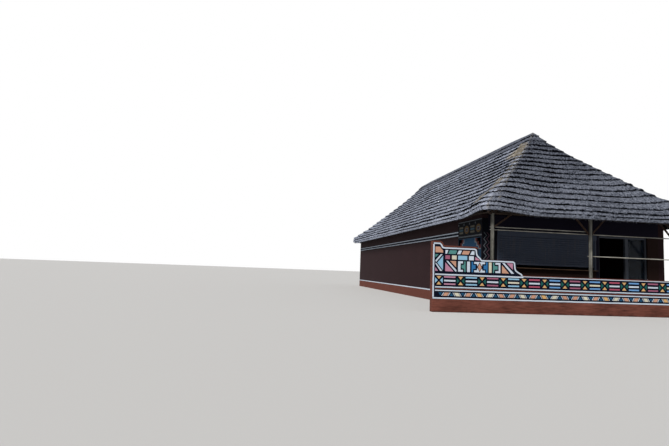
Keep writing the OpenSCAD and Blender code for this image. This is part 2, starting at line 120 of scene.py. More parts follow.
class HutRoofSizes(bpy.types.PropertyGroup):
    """Sizes of the thatch, matched to the frame's own solids."""

    eave_z: metres("Eave height", 3.10, "Height of the thatch's underside at the eave")
    foot_pitch: slope("Foot slope", 36, "Slope of the bell-cast foot")
    foot_run: metres("Foot depth", 1.00, "Depth of the foot in plan")
    main_pitch: slope("Main slope", 43, "Slope of the main roof")
    top_pitch: slope("Top slope", 45.5, "Slope of the thickened top")
    top_run: metres("Top depth", 1.10, "Depth of the thickened top in plan")
    thatch_t: metres("Thatch thickness", 0.20, "Thickness of the thatch, square to the slope")
    courses: whole_number("Courses", 14, 4, "Stepped courses below the ridge cap")
    foot_courses: whole_number("Foot courses", 3, 1, "Courses on the foot")
    butt_step: metres("Butt step", 0.065, "Step at the butt of a course")
    hip_soft: factor("Soft hips", 0.82, "Share of the step that is lost at the hips")
    hip_reach: metres("Hip reach", 0.55, "Distance from a hip over which the steps soften")
    hip_climb: metres("Hip climb", 0.06, "How far the courses climb towards a hip")
    eave_lean: metres("Eave lean", 0.07, "Lean-in of the eave's cut face")
    eave_lip: metres("Eave lip", 0.06, "Lip of the lowest layer in front of the first butt")
    corner_r: metres("Corner radius", 0.50, "Radius of the eave corners in plan")
    corner_lift: metres("Corner lift", 0.15, "Rise of the eave at its corners")
    lift_reach: metres("Lift reach", 2.0, "Length along the eave over which the corner rises")
    lift_run: metres("Lift depth", 3.5, "Depth up the roof over which the rise dies out")
    cap_run: metres("Cap depth", 0.40, "Depth of the ridge cap in plan, each side")
    cap_top_run: metres("Cap top depth", 0.17, "Depth of the cap's upper layer in plan, each side")
    cap_t: metres("Cap layer", 0.045, "Thickness of one layer of the cap")
    cap_soft: factor("Soft cap", 0.25, "Share of the cap's thickness lost at its hips")
    reed_step: metres("Reed bundles, sides", 0.038, "Width of one bundle of reeds along the side eaves")
    end_reed_step: metres("Reed bundles, ends", 0.022, "Width of one bundle of reeds along the end eaves")


class HutRaggedness(bpy.types.PropertyGroup):
    """How uneven the hand-made surfaces are."""

    wave: metres("Course wave", 0.045, "Slow wander of a course up and down the slope")
    tuft: metres("Tufts", 0.042, "Uneven ends of the reed bundles along a butt")
    bristle: metres("Bristle", 0.022, "Roughness of the reed surface")
    eave: metres("Eave", 0.030, "Raggedness of the cut edge of the thatch")
    pole: metres("Pole wander", 0.012, "Loss of roundness along a pole")
    plaster: metres("Plaster", 0.006, "Unevenness of the plaster")


class HutColours(bpy.types.PropertyGroup):
    """Display colours of the finishes."""

    reed_dark: paint("Reed, dark", (20, 24, 35), "Weathered reed in the hollows")
    reed_light: paint("Reed, light", (134, 140, 155), "Weathered reed ends")
    # Painted shade: the near-black under the butts, on the thatch's underside and in the cut eave's line
    reed_gap: paint("Gap", (0, 1, 6), "Shadowed gap under a butt")
    straw: paint("Straw", (186, 178, 164), "Fresh straw of the hip's mending")
    pole: paint("Roof pole", (62, 48, 40), "Roof poles under the thatch")
    peeled: paint("Peeled pole", (134, 133, 126), "Peeled and bleached poles")
    plinth: paint("Plinth", (96, 56, 47), "Red-brown plinth and coping")
    # Brown plaster, darkened as painted shade of the eaves and the stoep
    plaster: paint("Plaster", (38, 22, 25), "Brown plaster")
    navy: paint("Navy", (0, 5, 24), "Ground of the painted bands")
    dusk: paint("Dusk", (17, 14, 28), "Dark head of the stoep wall")
    white: paint("White", (190, 201, 215), "White lines")
    cream: paint("Cream", (198, 194, 176), "Cream fields")
    pink: paint("Pink", (176, 126, 150), "Pink fields")
    mauve: paint("Mauve", (150, 90, 114), "Mauve stripes")
    sky: paint("Light blue", (134, 178, 206), "Light blue fields")
    blue: paint("Blue", (44, 104, 156), "Blue fields")
    teal: paint("Teal", (78, 132, 130), "Teal fields")
    peach: paint("Peach", (186, 142, 120), "Peach fields")
    gold: paint("Gold", (200, 160, 108), "Gold triangles")
    red: paint("Dark red", (120, 40, 44), "Dark red fields")
    rose: paint("Rose", (164, 78, 100), "Rose bars of the low run")
    azure: paint("Azure", (100, 148, 200), "Azure bars of the low run")
    green: paint("Green", (26, 86, 80), "Green sides of the crossed boxes")
    petrol: paint("Petrol blue", (30, 76, 108), "Small triangles of the low run")
    # Grey-blue steel, darkened part way as painted shade of the stoep
    shutter: paint("Shutter", (50, 58, 74), "Painted steel of the shutter")
    frame: paint("Frame", (62, 68, 78), "Grey painted frame")
    counter: paint("Counter", (92, 70, 54), "Stained wood of the counter")
    screed: paint("Screed", (140, 118, 106), "Floor screed")


class HutCamera(bpy.types.PropertyGroup):
    """Viewpoint, as solved from the eaves, posts and garden wall."""

    place: FloatVectorProperty(
        name="Place", description="Camera position", default=(-10.97, -25.13, 1.19), unit="LENGTH")
    pitch: slope("Pitch", 5.39, "Upward tilt")
    yaw: slope("Yaw", 8.70, "Turn to the right of +Y")
    roll: slope("Roll", 2.14, "Roll of the picture")
    lens: FloatProperty(name="Lens", description="Focal length in mm on a 36 mm sensor", default=26.12)


def settings():
    return bpy.context.scene.hut


class HutSettings(bpy.types.PropertyGroup):
    """All that can be changed."""

    roof: PointerProperty(type=HutRoofSizes)
    ragged: PointerProperty(type=HutRaggedness)
    colours: PointerProperty(type=HutColours)
    camera: PointerProperty(type=HutCamera)


# Mesh helpers


def deselect():
    bpy.ops.object.select_all(action="DESELECT")


def activate(piece):
    deselect()
    piece.select_set(True)
    bpy.context.view_layer.objects.active = piece
    return piece


@contextmanager
def editing(piece, mode="VERT", select="SELECT"):
    """Edit mode on one piece, with all of it or none of it selected."""
    activate(piece)
    bpy.ops.object.mode_set(mode="EDIT")
    bpy.ops.mesh.select_mode(type=mode)
    bpy.ops.mesh.select_all(action=select)
    yield bmesh.from_edit_mesh(piece.data)
    bpy.ops.object.mode_set(mode="OBJECT")


def copy_of(node, name):
    """A copy of a frame node, with its corners welded and its triangles merged into whole faces."""
    activate(NODES[node])
    bpy.ops.object.duplicate()
    piece = bpy.context.object
    piece.name = piece.data.name = name
    bpy.ops.object.parent_clear(type="CLEAR_KEEP_TRANSFORM")
    del piece["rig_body"], piece["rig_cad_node"]
    piece.data.materials.clear()
    with editing(piece):
        bpy.ops.mesh.remove_doubles(threshold=1e-4)
        bpy.ops.mesh.dissolve_limited(angle_limit=math.radians(0.5))
    return piece


def modify(piece, kind, **values):
    """Adds one modifier, sets it and applies it."""
    activate(piece)
    modifier = piece.modifiers.new(kind.title(), kind)
    for name, value in values.items():
        setattr(modifier, name, value)
    bpy.ops.object.modifier_apply(modifier=modifier.name)


def roughen(piece, depth, size):
    """Sinks the surface unevenly, never outwards, so that it stays inside the frame's own solid."""
    name = "lumps %g" % size
    texture = bpy.data.textures.get(name) or bpy.data.textures.new(name, "CLOUDS")
    texture.noise_scale = size
    modify(piece, "DISPLACE", texture=texture, texture_coords="LOCAL", mid_level=1.0, strength=depth)


def join(pieces, name):
    deselect()
    for piece in pieces:
        piece.select_set(True)
    bpy.context.view_layer.objects.active = pieces[0]
    bpy.ops.object.join()
    pieces[0].name = pieces[0].data.name = name
    return pieces[0]


def shade(piece, degrees):
    activate(piece)
    bpy.ops.object.shade_smooth_by_angle(angle=math.radians(degrees))


def hand_over(piece, slot, *nodes):
    """Fixes a finished piece to the frame's one body."""
    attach(piece, "root")
    if nodes:
        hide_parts(*nodes)


# Shader helpers


def linear(colour):
    """A display colour as the linear value that a shader takes."""
    return [c / 12.92 if c <= 0.04045 else ((c + 0.055) / 1.055) ** 2.4 for c in colour] + [1.0]


def tone(colour, by):
    """A display colour, lighter or darker."""
    return [v * by for v in colour]


class Tree:
    """Adds nodes to one shader tree. A value given for an input is set there, a socket is linked."""

    def __init__(self, tree):
        self.tree = tree

    def link(self, source, target):
        self.tree.links.new(source, target)

    def add(self, kind, inputs=None, **values):
        node = self.tree.nodes.new("ShaderNode" + kind)
        for name, value in values.items():
            setattr(node, name, value)
        for key, value in (inputs or {}).items():
            if isinstance(value, bpy.types.NodeSocket):
                self.link(value, node.inputs[key])
            else:
                node.inputs[key].default_value = value
        return node

    def group(self, name, inputs):
        """A shared group, placed here with its own values."""
        return self.add("Group", inputs, node_tree=bpy.data.node_groups[name]).outputs

    def maths(self, operation, a, b=0.0, c=0.0, clamp=False):
        return self.add("Math", {0: a, 1: b, 2: c}, operation=operation, use_clamp=clamp).outputs[0]

    def plus(self, a, b, clamp=False):
        return self.maths("ADD", a, b, clamp=clamp)

    def minus(self, a, b):
        return self.maths("SUBTRACT", a, b)

    def times(self, a, b, clamp=False):
        return self.maths("MULTIPLY", a, b, clamp=clamp)

    def blend(self, *parts):
        """The sum of values, each multiplied by its weight."""
        total = 0.0
        for value, weight in parts:
            total = self.maths("MULTIPLY_ADD", value, weight, total)
        return total

    def mix(self, share, a, b):
        return self.add("Mix", {0: share, 6: a, 7: b}, data_type="RGBA").outputs[2]

    def noise(self, vector, scale=1.0, detail=4.0, rough=0.55):
        return self.add("TexNoise", {"Vector": vector, "Scale": scale, "Detail": detail,
                                     "Roughness": rough}).outputs["Fac"]

    def stretch(self, vector, scale, turn=(0, 0, 0)):
        return self.add("Mapping", {"Vector": vector, "Scale": scale, "Rotation": turn}).outputs[0]

    def scaled(self, vector, by):
        return self.add("VectorMath", {0: vector, "Scale": by}, operation="SCALE").outputs[0]

    def parts(self, vector):
        return self.add("SeparateXYZ", {0: vector}).outputs

    def object_place(self):
        return self.add("TexCoord").outputs["Object"]

    def between(self, value, low, high, out_low=0.0, out_high=1.0, smooth=True):
        """A value carried from one range to another, and held at its ends."""
        kind = "SMOOTHSTEP" if smooth else "LINEAR"
        return self.add("MapRange", {0: value, 1: low, 2: high, 3: out_low, 4: out_high},
                        interpolation_type=kind).outputs[0]


def group(name, inputs, outputs):
    """A new shader node group. Each input is given by its kind, or by its usual value."""
    tree = bpy.data.node_groups.new(name, "ShaderNodeTree")
    for socket, given in inputs.items():
        kind = given if isinstance(given, str) else "Color" if isinstance(given, tuple) else "Float"
        made = tree.interface.new_socket(socket, in_out="INPUT", socket_type="NodeSocket" + kind)
        if kind != given:
            made.default_value = given
    for socket, kind in outputs.items():
        tree.interface.new_socket(socket, in_out="OUTPUT", socket_type="NodeSocket" + kind)
    return Tree(tree), tree.nodes.new("NodeGroupInput").outputs, tree.nodes.new("NodeGroupOutput").inputs


SURFACE = {"Colour": "Color", "Roughness": "Float", "Height": "Float"}

# How often each texture repeats along X, Y and Z
BRUSH_STROKES = (1.6, 1.6, 13.0)
REED_STEMS, REED_CLUMPS, CLUMP_TURN = (95.0, 12.0, 1.0), (19.0, 5.5, 1.0), (0, 0, 0.2)
STRAW_STEMS, TUFTS = (120.0, 7.0, 1.0), (24.0, 24.0, 1.0)
WOOD_FIBRES, WOOD_CHECKS = (60.0, 60.0, 2.2), (26.0, 26.0, 0.9)
RAIN_STREAKS = (22.0, 22.0, 1.1)

# Heights between which the reed gets damper, the foot of the splashed dust, and how ragged its upper edge is
DAMP_FROM, DAMP_TO = 3.8, 6.6
SPLASH_FOOT, SPLASH_RAGGED = 0.10, 0.35

CHECK_COLOUR, DIRT_COLOUR = (0.02, 0.017, 0.014, 1), (0.12, 0.09, 0.07, 1)


def make_hand_finish():
    """Unevenness of anything brushed or trowelled by hand: mottling, strokes, chips and splashed dust."""
    t, given, out = group("Hand finish", {
        "Vector": "Vector", "Colour": "Color", "Mottle": 0.3, "Chips": 0.1, "Chip colour": "Color",
        "Dust": 0.4, "Dust height": 0.35, "Dust colour": "Color",
    }, SURFACE)
    place = given["Vector"]
    cloud = t.noise(place, 1.3, detail=6)
    strokes = t.noise(t.stretch(place, BRUSH_STROKES), 2.2)
    grain = t.noise(place, 120.0, detail=3)
    uneven = t.minus(t.plus(cloud, strokes), 1.0)
    tinted = t.scaled(given["Colour"], t.maths("MULTIPLY_ADD", uneven, given["Mottle"], 1.0))
    chip = t.between(t.noise(place, 9.0, detail=7, rough=0.7), 0.66, 0.70)
    worn = t.mix(t.times(chip, given["Chips"]), tinted, given["Chip colour"])
    wander = t.times(t.noise(place, 3.0, detail=6, rough=0.65), SPLASH_RAGGED)
    ragged = t.plus(t.parts(place)[2], wander)
    splash = t.between(ragged, SPLASH_FOOT, given["Dust height"], 1.0, 0.0, smooth=False)
    dust = t.times(splash, given["Dust"], clamp=True)
    t.link(t.mix(dust, worn, given["Dust colour"]), out["Colour"])
    t.link(t.between(grain, 0.2, 0.8, out_low=0.78, out_high=0.95), out["Roughness"])
    t.link(t.blend((cloud, 0.6), (strokes, 0.25), (grain, 0.10)), out["Height"])


def make_reeds():
    """Weathered reed ends and stems. The vector's X runs along the course and its Y up the slope."""
    t, given, out = group("Reeds", {
        "Vector": "Vector", "Place": "Vector", "Dark": "Color", "Light": "Color",
        "Contrast": 1.0, "Damp": 0.0, "Ends": 0.0,
    }, {"Colour": "Color", "Height": "Float"})
    stems = t.noise(t.stretch(given["Vector"], REED_STEMS), detail=3, rough=0.65)
    clumps = t.noise(t.stretch(given["Vector"], REED_CLUMPS, CLUMP_TURN), detail=2, rough=0.9)
    patches = t.noise(given["Place"], 0.8, detail=5, rough=0.6)
    shares = {"stems": 0.45, "clumps": 0.90, "patches": 0.20}
    value = t.blend((stems, shares["stems"]), (clumps, shares["clumps"]), (patches, shares["patches"]))
    centred = t.times(t.minus(value, sum(shares.values()) / 2), given["Contrast"])
    damp = t.times(t.between(t.parts(given["Place"])[2], DAMP_FROM, DAMP_TO), given["Damp"])
    bright = t.minus(t.times(given["Ends"], 0.5), damp)
    share = t.plus(t.between(centred, -0.26, 0.20), bright, clamp=True)
    strokes = t.between(stems, 0.32, 0.66, out_low=0.70, out_high=1.25, smooth=False)
    t.link(t.scaled(t.mix(share, given["Dark"], given["Light"]), strokes), out["Colour"])
    t.link(t.blend((stems, 0.7), (clumps, 0.6)), out["Height"])


def make_hip_wear():
    """Where straw shows: a thin line along each hip, and the mended patch on top of the front left one."""
    t, given, out = group("Hip wear", {
        "Place": "Vector", "Offset": HALF_L - HALF_W, "Patch": "Vector",
    }, {"Line": "Float", "Patch": "Float"})
    place = given["Place"]
    across = t.parts(t.add("VectorMath", {0: place}, operation="ABSOLUTE").outputs[0])
    off = t.maths("ABSOLUTE", t.plus(t.minus(across[0], across[1]), given["Offset"]))
    wander = t.times(t.noise(place, 3.0, detail=5, rough=0.7), 0.42)
    line = t.between(t.plus(off, wander), 0.16, 0.36, out_low=1.0, out_high=0.0)
    broken = t.between(t.noise(place, 6.0, rough=0.6), 0.42, 0.58)
    reach = t.add("VectorMath", {0: place, 1: given["Patch"]}, operation="DISTANCE").outputs["Value"]
    ragged = t.plus(reach, t.times(t.noise(place, 6.0, detail=6, rough=0.75), 0.70))
    t.link(t.times(line, broken), out["Line"])
    t.link(t.between(ragged, 0.62, 0.98, out_low=1.0, out_high=0.0), out["Patch"])


def make_timber():
    """Grain and checks of a pole or board, drawn out along the vector's Z."""
    t, given, out = group("Timber", {
        "Vector": "Vector", "Dark": "Color", "Light": "Color", "Grain": 1.0}, SURFACE)
    fibres = t.noise(t.stretch(given["Vector"], WOOD_FIBRES), rough=0.6)
    checks = t.between(t.noise(t.stretch(given["Vector"], WOOD_CHECKS), detail=2), 0.60, 0.66)
    blotches = t.noise(given["Vector"], 2.6, detail=5)
    share = t.between(t.blend((fibres, 0.6), (blotches, 0.5)), 0.40, 0.70)
    wood = t.mix(share, given["Dark"], given["Light"])
    t.link(t.mix(t.times(checks, 0.55), wood, CHECK_COLOUR), out["Colour"])
    t.link(t.between(fibres, 0.2, 0.8, out_low=0.62, out_high=0.85), out["Roughness"])
    t.link(t.minus(t.times(fibres, given["Grain"]), checks), out["Height"])


def make_rain_streaks():
    """Dirt that has run down painted metal."""
    t, given, out = group("Rain streaks", {"Vector": "Vector", "Colour": "Color", "Dirt": 0.4}, SURFACE)
    streaks = t.between(t.noise(t.stretch(given["Vector"], RAIN_STREAKS), rough=0.6), 0.48, 0.72)
    smudge = t.noise(given["Vector"], 4.0, detail=5)
    dirt = t.times(t.times(streaks, smudge), given["Dirt"])
    t.link(t.mix(dirt, given["Colour"], DIRT_COLOUR), out["Colour"])
    t.link(t.maths("MULTIPLY_ADD", smudge, 0.3, 0.3), out["Roughness"])
    t.link(smudge, out["Height"])


# Materials

# Pale dust, and the dark colour that the plinth takes towards its foot
DUST, FOOT_DARK = (0.64, 0.56, 0.47), (0.13, 0.09, 0.08)
GLASS_TINT = (0.30, 0.36, 0.44)
LEVEL = (0, math.radians(90), 0)


def new_material(name, specular=0.5):
    material = bpy.data.materials.new(name)
    material.use_nodes = True
    material.node_tree.nodes.clear()
    t = Tree(material.node_tree)
    shader = t.add("BsdfPrincipled", {"Specular IOR Level": specular})
    t.add("OutputMaterial", {0: shader.outputs[0]})
    return material, t, shader


def bump(t, shader, height, strength, distance):
    made = t.add("Bump", {"Height": height, "Strength": strength, "Distance": distance})
    t.link(made.outputs[0], shader.inputs["Normal"])


def coated(name, group_name, inputs, specular, relief, turn=None):
    """A material that takes its colour, roughness and relief from one group."""
    material, t, shader = new_material(name, specular)
    place = t.object_place()
    if turn:
        place = t.stretch(place, (1, 1, 1), turn)
    got = t.group(group_name, {"Vector": place, **inputs})
    t.link(got["Colour"], shader.inputs["Base Color"])
    t.link(got["Roughness"], shader.inputs["Roughness"])
    bump(t, shader, got["Height"], *relief)
    return material


def painted(name, colour, mottle=0.30, chips=0.25, dust=0.0, dust_height=0.35, dust_colour=DUST):
    """Paint or limewash on hand-laid plaster."""
    return coated(name, "Hand finish", {
        "Colour": linear(colour), "Mottle": mottle, "Chips": chips,
        "Chip colour": linear(settings().colours.plinth), "Dust": dust, "Dust height": dust_height,
        "Dust colour": linear(dust_colour)}, specular=0.12, relief=(0.5, 0.006))


def timber(name, dark, light, grain=1.0, turn=None):
    """Poles and boards; turn lays the grain along another axis than Z."""
    return coated(name, "Timber", {"Dark": linear(dark), "Light": linear(light), "Grain": grain},
                  specular=0.2, relief=(0.6, 0.003), turn=turn)


def painted_metal(name, colour, dirt):
    return coated(name, "Rain streaks", {"Colour": linear(colour), "Dirt": dirt},
                  specular=0.15, relief=(0.15, 0.001))


def window_glass():
    material, t, shader = new_material("Window glass")
    shader.inputs["Base Color"].default_value = linear(GLASS_TINT)
    shader.inputs["Transmission Weight"].default_value = 0.9
    shader.inputs["IOR"].default_value = 1.18
    smudge = t.noise(t.object_place(), 7.0, detail=5)
    t.link(t.between(smudge, 0.4, 0.75, out_low=0.03, out_high=0.22), shader.inputs["Roughness"])
    return material


def reed_thatch(name, contrast, damp=0.0, painted_light=1.0, gap_from=0.30):
    """Grey reed with painted shade in the gaps under the butts, on the underside and in the cut eave's line,
    straw along the hips, and damper reed towards the top.
    """
    gap_fade, fray = 0.32, 0.9
    line_straw, patch_straw, patch_cover = 0.40, 0.85, 0.75
    c = settings().colours
    material, t, shader = new_material(name, specular=0.06)
    shader.inputs["Roughness"].default_value = 0.92
    place = t.object_place()
    along = t.add("UVMap", uv_map="reeds").outputs[0]
    gap = t.add("Attribute", attribute_name="gap").outputs["Fac"]
    # painted_light makes the light reed lighter or darker per slope, as painted light
    reeds = t.group("Reeds", {
        "Vector": along, "Place": place, "Dark": linear(c.reed_dark),
        "Light": linear(tone(c.reed_light, painted_light)), "Contrast": contrast, "Damp": damp,
        "Ends": t.times(gap, -1.0, clamp=True)})
    wear = t.group("Hip wear", {"Place": place, "Offset": HALF_L - HALF_W, "Patch": MENDED_PATCH})
    stems = t.noise(t.stretch(along, STRAW_STEMS), rough=0.65)
    straw = t.mix(t.between(stems, 0.30, 0.62), linear(tone(c.straw, 0.62)), linear(c.straw))
    share = t.maths("MAXIMUM", t.times(wear["Line"], line_straw), t.times(wear["Patch"], patch_straw))
    dressed = t.mix(share, reeds["Colour"], straw)
    tufts = t.noise(t.stretch(along, TUFTS), rough=0.7)
    # Painted shade: the reed turns to the gap colour where the gap mark, frayed by the tufts, passes
    # gap_from
    frayed = t.plus(gap, t.times(t.minus(tufts, 0.5), fray))
    dark = t.between(frayed, gap_from, gap_from + gap_fade)
    bare = t.minus(1.0, t.times(wear["Patch"], patch_cover))
    t.link(t.mix(t.times(dark, bare), dressed, linear(c.reed_gap)), shader.inputs["Base Color"])
    bump(t, shader, reeds["Height"], 1.0, 0.026)
    return material


# Roof shape

MENDED_PATCH = (-0.98, -HALF_L + 3.84, 6.20)

# Rows along each slope of the underside and up the cut eave, and the row up there that becomes a line
SLOPE_STEPS, CUT_STEPS, LINE_STEP = 4, 8, 5

# How far that line is sunk, the cut eave leans in at its top, and the thatch runs in under the cap
LINE_DEPTH, CUT_ROUNDING, UNDER_CAP = 0.03, 0.05, 0.06

# How much denser the reeds are drawn on the cut eave, how near a hip the courses start to climb, and a shift
# that keeps the width of the painted shade in the gaps apart from the slide of the tufts
CUT_DENSITY, CLIMB_REACH, GAP_SHIFT = 2.5, 1.3, Vector((9, 4, 2))

# One line of the cross-section: distance in from the eave, height, corner radius and rise, how proud it
# stands, the butt that it slides with and how much, bristle, and the painted shade of its gap (below 0, how
# pale the cut ends are)
Row = namedtuple("Row", "d z r lift proud butt slide bristle gap")

# The line across the cut eave, sunk in and painted dark as shade: rise and painted shade of its lower and
# upper edge
CUT_LINE = ((-0.025, 0.9), (0.015, 0.7))

# A course from its butt upwards: share of its depth, share of its step, slide with the tufts, bristle,
# painted shade of the gap under the butt
COURSE = (
    (0.12, -0.08, 0.5, 0.2, 1.00),
    (0.01, 0.10, 1.0, 0.5, 1.00),
    (0.00, 0.50, 1.0, 0.8, 0.80),
    (0.00, 0.80, 1.0, 1.0, 0.25),
    (0.05, 0.98, 0.9, 1.0, 0.00),
    (0.20, 0.83, 0.6, 1.0, 0.00),
    (0.38, 0.63, 0.3, 1.0, 0.00),
    (0.56, 0.45, 0.0, 1.0, 0.00),
    (0.74, 0.26, 0.0, 0.8, 0.00),
    (0.90, 0.10, 0.0, 0.4, 0.45),
)

# A layer of the cap from its butt upwards: inset, share of its depth, rise, share of its thickness, slide
# with the tufts, bristle, painted shade of the gap under the butt
CAP_LAYER = (
    (0.012, 0.00, 0.002, 0.00, 0.5, 0.2, 1.0),
    (0.000, 0.00, 0.000, 0.25, 1.0, 0.5, 0.9),
    (0.000, 0.00, 0.000, 0.75, 1.0, 0.5, 0.5),
    (0.008, 0.00, 0.000, 1.00, 0.8, 0.5, 0.0),
    (0.000, 0.40, 0.000, 1.00, 0.2, 0.5, 0.0),
    (0.000, 0.85, 0.000, 1.00, 0.0, 0.4, 0.1),
)


class RoofProfile:
    """Heights of the roof, by the distance d in from the eave, in plan."""

    def __init__(self, sizes, soft):
        self.s = sizes
        self.soft = soft
        self.run = HALF_W
        self.cap_d = self.run - sizes.cap_run
        self.knee_d = self.run - sizes.top_run

    def under(self, d):
        s = self.s
        foot = s.eave_z + (min(d, s.foot_run) - s.eave_lean) * math.tan(s.foot_pitch)
        return foot + max(0.0, d - s.foot_run) * math.tan(s.main_pitch)

    def thick(self, d):
        s = self.s
        foot, main = s.thatch_t / math.cos(s.foot_pitch), s.thatch_t / math.cos(s.main_pitch)
        return foot + (main - foot) * min(1.0, d / s.foot_run)

    def over(self, d):
        if d <= self.knee_d:
            return self.under(d) + self.thick(d)
        return self.over(self.knee_d) + (d - self.knee_d) * math.tan(self.s.top_pitch)

    def pitch(self, d):
        s = self.s
        return s.foot_pitch if d < s.foot_run else s.main_pitch if d <= self.knee_d else s.top_pitch

    @staticmethod
    def swell(x, reach):
        """Falls smoothly from one at 0 to nothing at the reach."""
        return 0.0 if x >= reach else (1 + math.cos(math.pi * x / reach)) / 2

    def butt_d(self, i):
        s = self.s
        if i == 0:
            return s.eave_lip
        if i <= s.foot_courses:
            return s.foot_run * i / s.foot_courses
        return s.foot_run + (self.cap_d - s.foot_run) * (i - s.foot_courses) / (s.courses - s.foot_courses)

    def top_row(self, d, proud=0.0, butt=None, slide=0.0, bristle=0.0, gap=0.0):
        lift = self.s.corner_lift * self.swell(d, self.s.lift_run)
        radius = self.s.corner_r * (1 - d / self.run)
        return Row(d, self.over(d), radius, lift, proud, butt, slide, bristle, gap)

    def under_row(self, d):
        lift = self.s.corner_lift * self.swell(d, self.s.foot_run)
        radius = self.s.corner_r * max(0.0, 1 - d / self.s.foot_run)
        # The underside rows carry 0.6 of the gap mark: the underside is painted dark as shade
        return Row(d, self.under(d), radius, lift, 0.0, None, 0.0, 0.0, 0.6)

    def thatch_rows(self):
        """The closed cross-section: down the underside, up the cut eave and over the courses."""
        s = self.s
        steps = range(SLOPE_STEPS + 1)
        inner = [self.run - (self.run - s.foot_run) * k / SLOPE_STEPS for k in steps]
        foot = [s.foot_run - (s.foot_run - s.eave_lean) * k / SLOPE_STEPS for k in steps[1:]]
        rows = [self.under_row(d) for d in inner + foot]
        low, high = rows[-1], self.top_row(0.0)
        for k in range(1, CUT_STEPS + 1):
            t = k / CUT_STEPS
            d, z, r, lift = [a + (b - a) * t for a, b in zip(low[:4], high[:4])]
            if k == LINE_STEP:
                rows += [Row(d + LINE_DEPTH, z + rise, r, lift, 0.0, 0.0, 0.6, 0.6, gap)
                         for rise, gap in CUT_LINE]
            else:
                rows.append(Row(d + CUT_ROUNDING * t ** 4, z, r, lift, 0.0, None, (1 - t) ** 2, 1.0, -0.5))
        for i in range(s.courses):
            start = self.butt_d(i)
            deep = (self.butt_d(i + 1) if i + 1 < s.courses else self.cap_d) - start
            for share, step, *looseness in COURSE:
                rows.append(self.top_row(start + share * deep, step * s.butt_step, start, *looseness))
        return rows + [self.top_row(self.cap_d + UNDER_CAP), self.top_row(self.run), rows[0]]

    def cap_rows(self):
        """The closed cross-section of the layered ridge cap."""
        s = self.s
        rows = [self.top_row(self.run), self.top_row(self.cap_d)]
        layers = ((self.cap_d, s.cap_run - s.cap_top_run), (self.run - s.cap_top_run, s.cap_top_run))
        for k, (d, deep) in enumerate(layers):
            for inset, share, rise, thick, slide, *looseness in CAP_LAYER:
                proud, butt = s.cap_t * k + rise + s.cap_t * thick, d if slide else None
                rows.append(self.top_row(d + inset + deep * share, proud, butt, slide, *looseness))
        ridge = self.over(self.run) + s.cap_t * len(layers) / math.cos(s.top_pitch)
        rows.append(Row(self.run, ridge - 0.004, 0.0, -0.035, 0.0, None, 0.0, 0.3, 0.0))
        return rows + [rows[0]]

    def stations(self, half):
        """Turn of the corner arc and share of the straight part, one per reed bundle along an eave."""
        s = self.s
        step = s.reed_step if half > HALF_W else s.end_reed_step
        arc = max(3, round(s.corner_r * math.pi / 4 / step))
        straight = round(2 * (half - s.corner_r) / step)
        turns = [math.radians(45) * k / arc for k in range(arc, 0, -1)]
        return ([(-a, -1.0) for a in turns] + [(0.0, -1 + 2 * k / straight) for k in range(straight + 1)]
                + [(a, 1.0) for a in reversed(turns)])

    def point(self, half, station, row):
        """Place on one slope: along the eave, in from it, and up; last, its distance from the hip."""
        turn, share = station
        a, s = self.pitch(row.d), self.s
        off_hip = half - row.d - abs(share) * max(0.0, half - row.d - row.r) - row.r * abs(math.sin(turn))
        off_hip -= row.r * (1 - math.cos(turn))
        proud = row.proud * (1 - self.soft * self.swell(off_hip, s.hip_reach))
        d = row.d - proud * math.sin(a)
        straight = max(0.0, half - d - row.r)
        u = share * straight + row.r * math.sin(turn)
        v = d + row.r * (1 - math.cos(turn))
        z = row.z + proud * math.cos(a) + row.lift * self.swell(half - d - abs(u), s.lift_reach)
        return u, v, z, off_hip


def to_world(side, u, v, z):
    """From one slope's own axes to the hut's."""
    if side == "front":
        return Vector((u, v - HALF_L, z))
    if side == "right":
        return Vector((HALF_W - v, u, z))
    if side == "back":
        return Vector((-u, HALF_L - v, z))
    return Vector((v - HALF_W, -u, z))


def half_eave(side):
    """Half the length of one eave."""
    return HALF_L if side in ("left", "right") else HALF_W


def is_cut_edge(row):
    return row.butt is None and row.bristle == 1


def layered_noise(place, *layers, start=0.0):
    """A start value plus noise of several sizes, each by how often it changes and how much it counts."""
    total = start
    for often, weight in layers:
        total += weight * noise.noise(place * often)
    return total


def tuft(q, off_hip, sizes, ragged):
    """How far the reeds at one place of a butt slide down, and how far the painted shade in the gap under
    them spreads.
    """
    slide = layered_noise(q, (0.9, ragged.wave), (3.7, ragged.tuft * 0.7), (13.0, ragged.tuft * 0.9),
                          (37.0, ragged.tuft * 0.5))
    slide -= sizes.hip_climb * RoofProfile.swell(off_hip, CLIMB_REACH)
    return slide, layered_noise(q, (6.0, 0.8), (15.0, 0.8), start=0.80 + noise.noise(q * 1.6 + GAP_SHIFT))


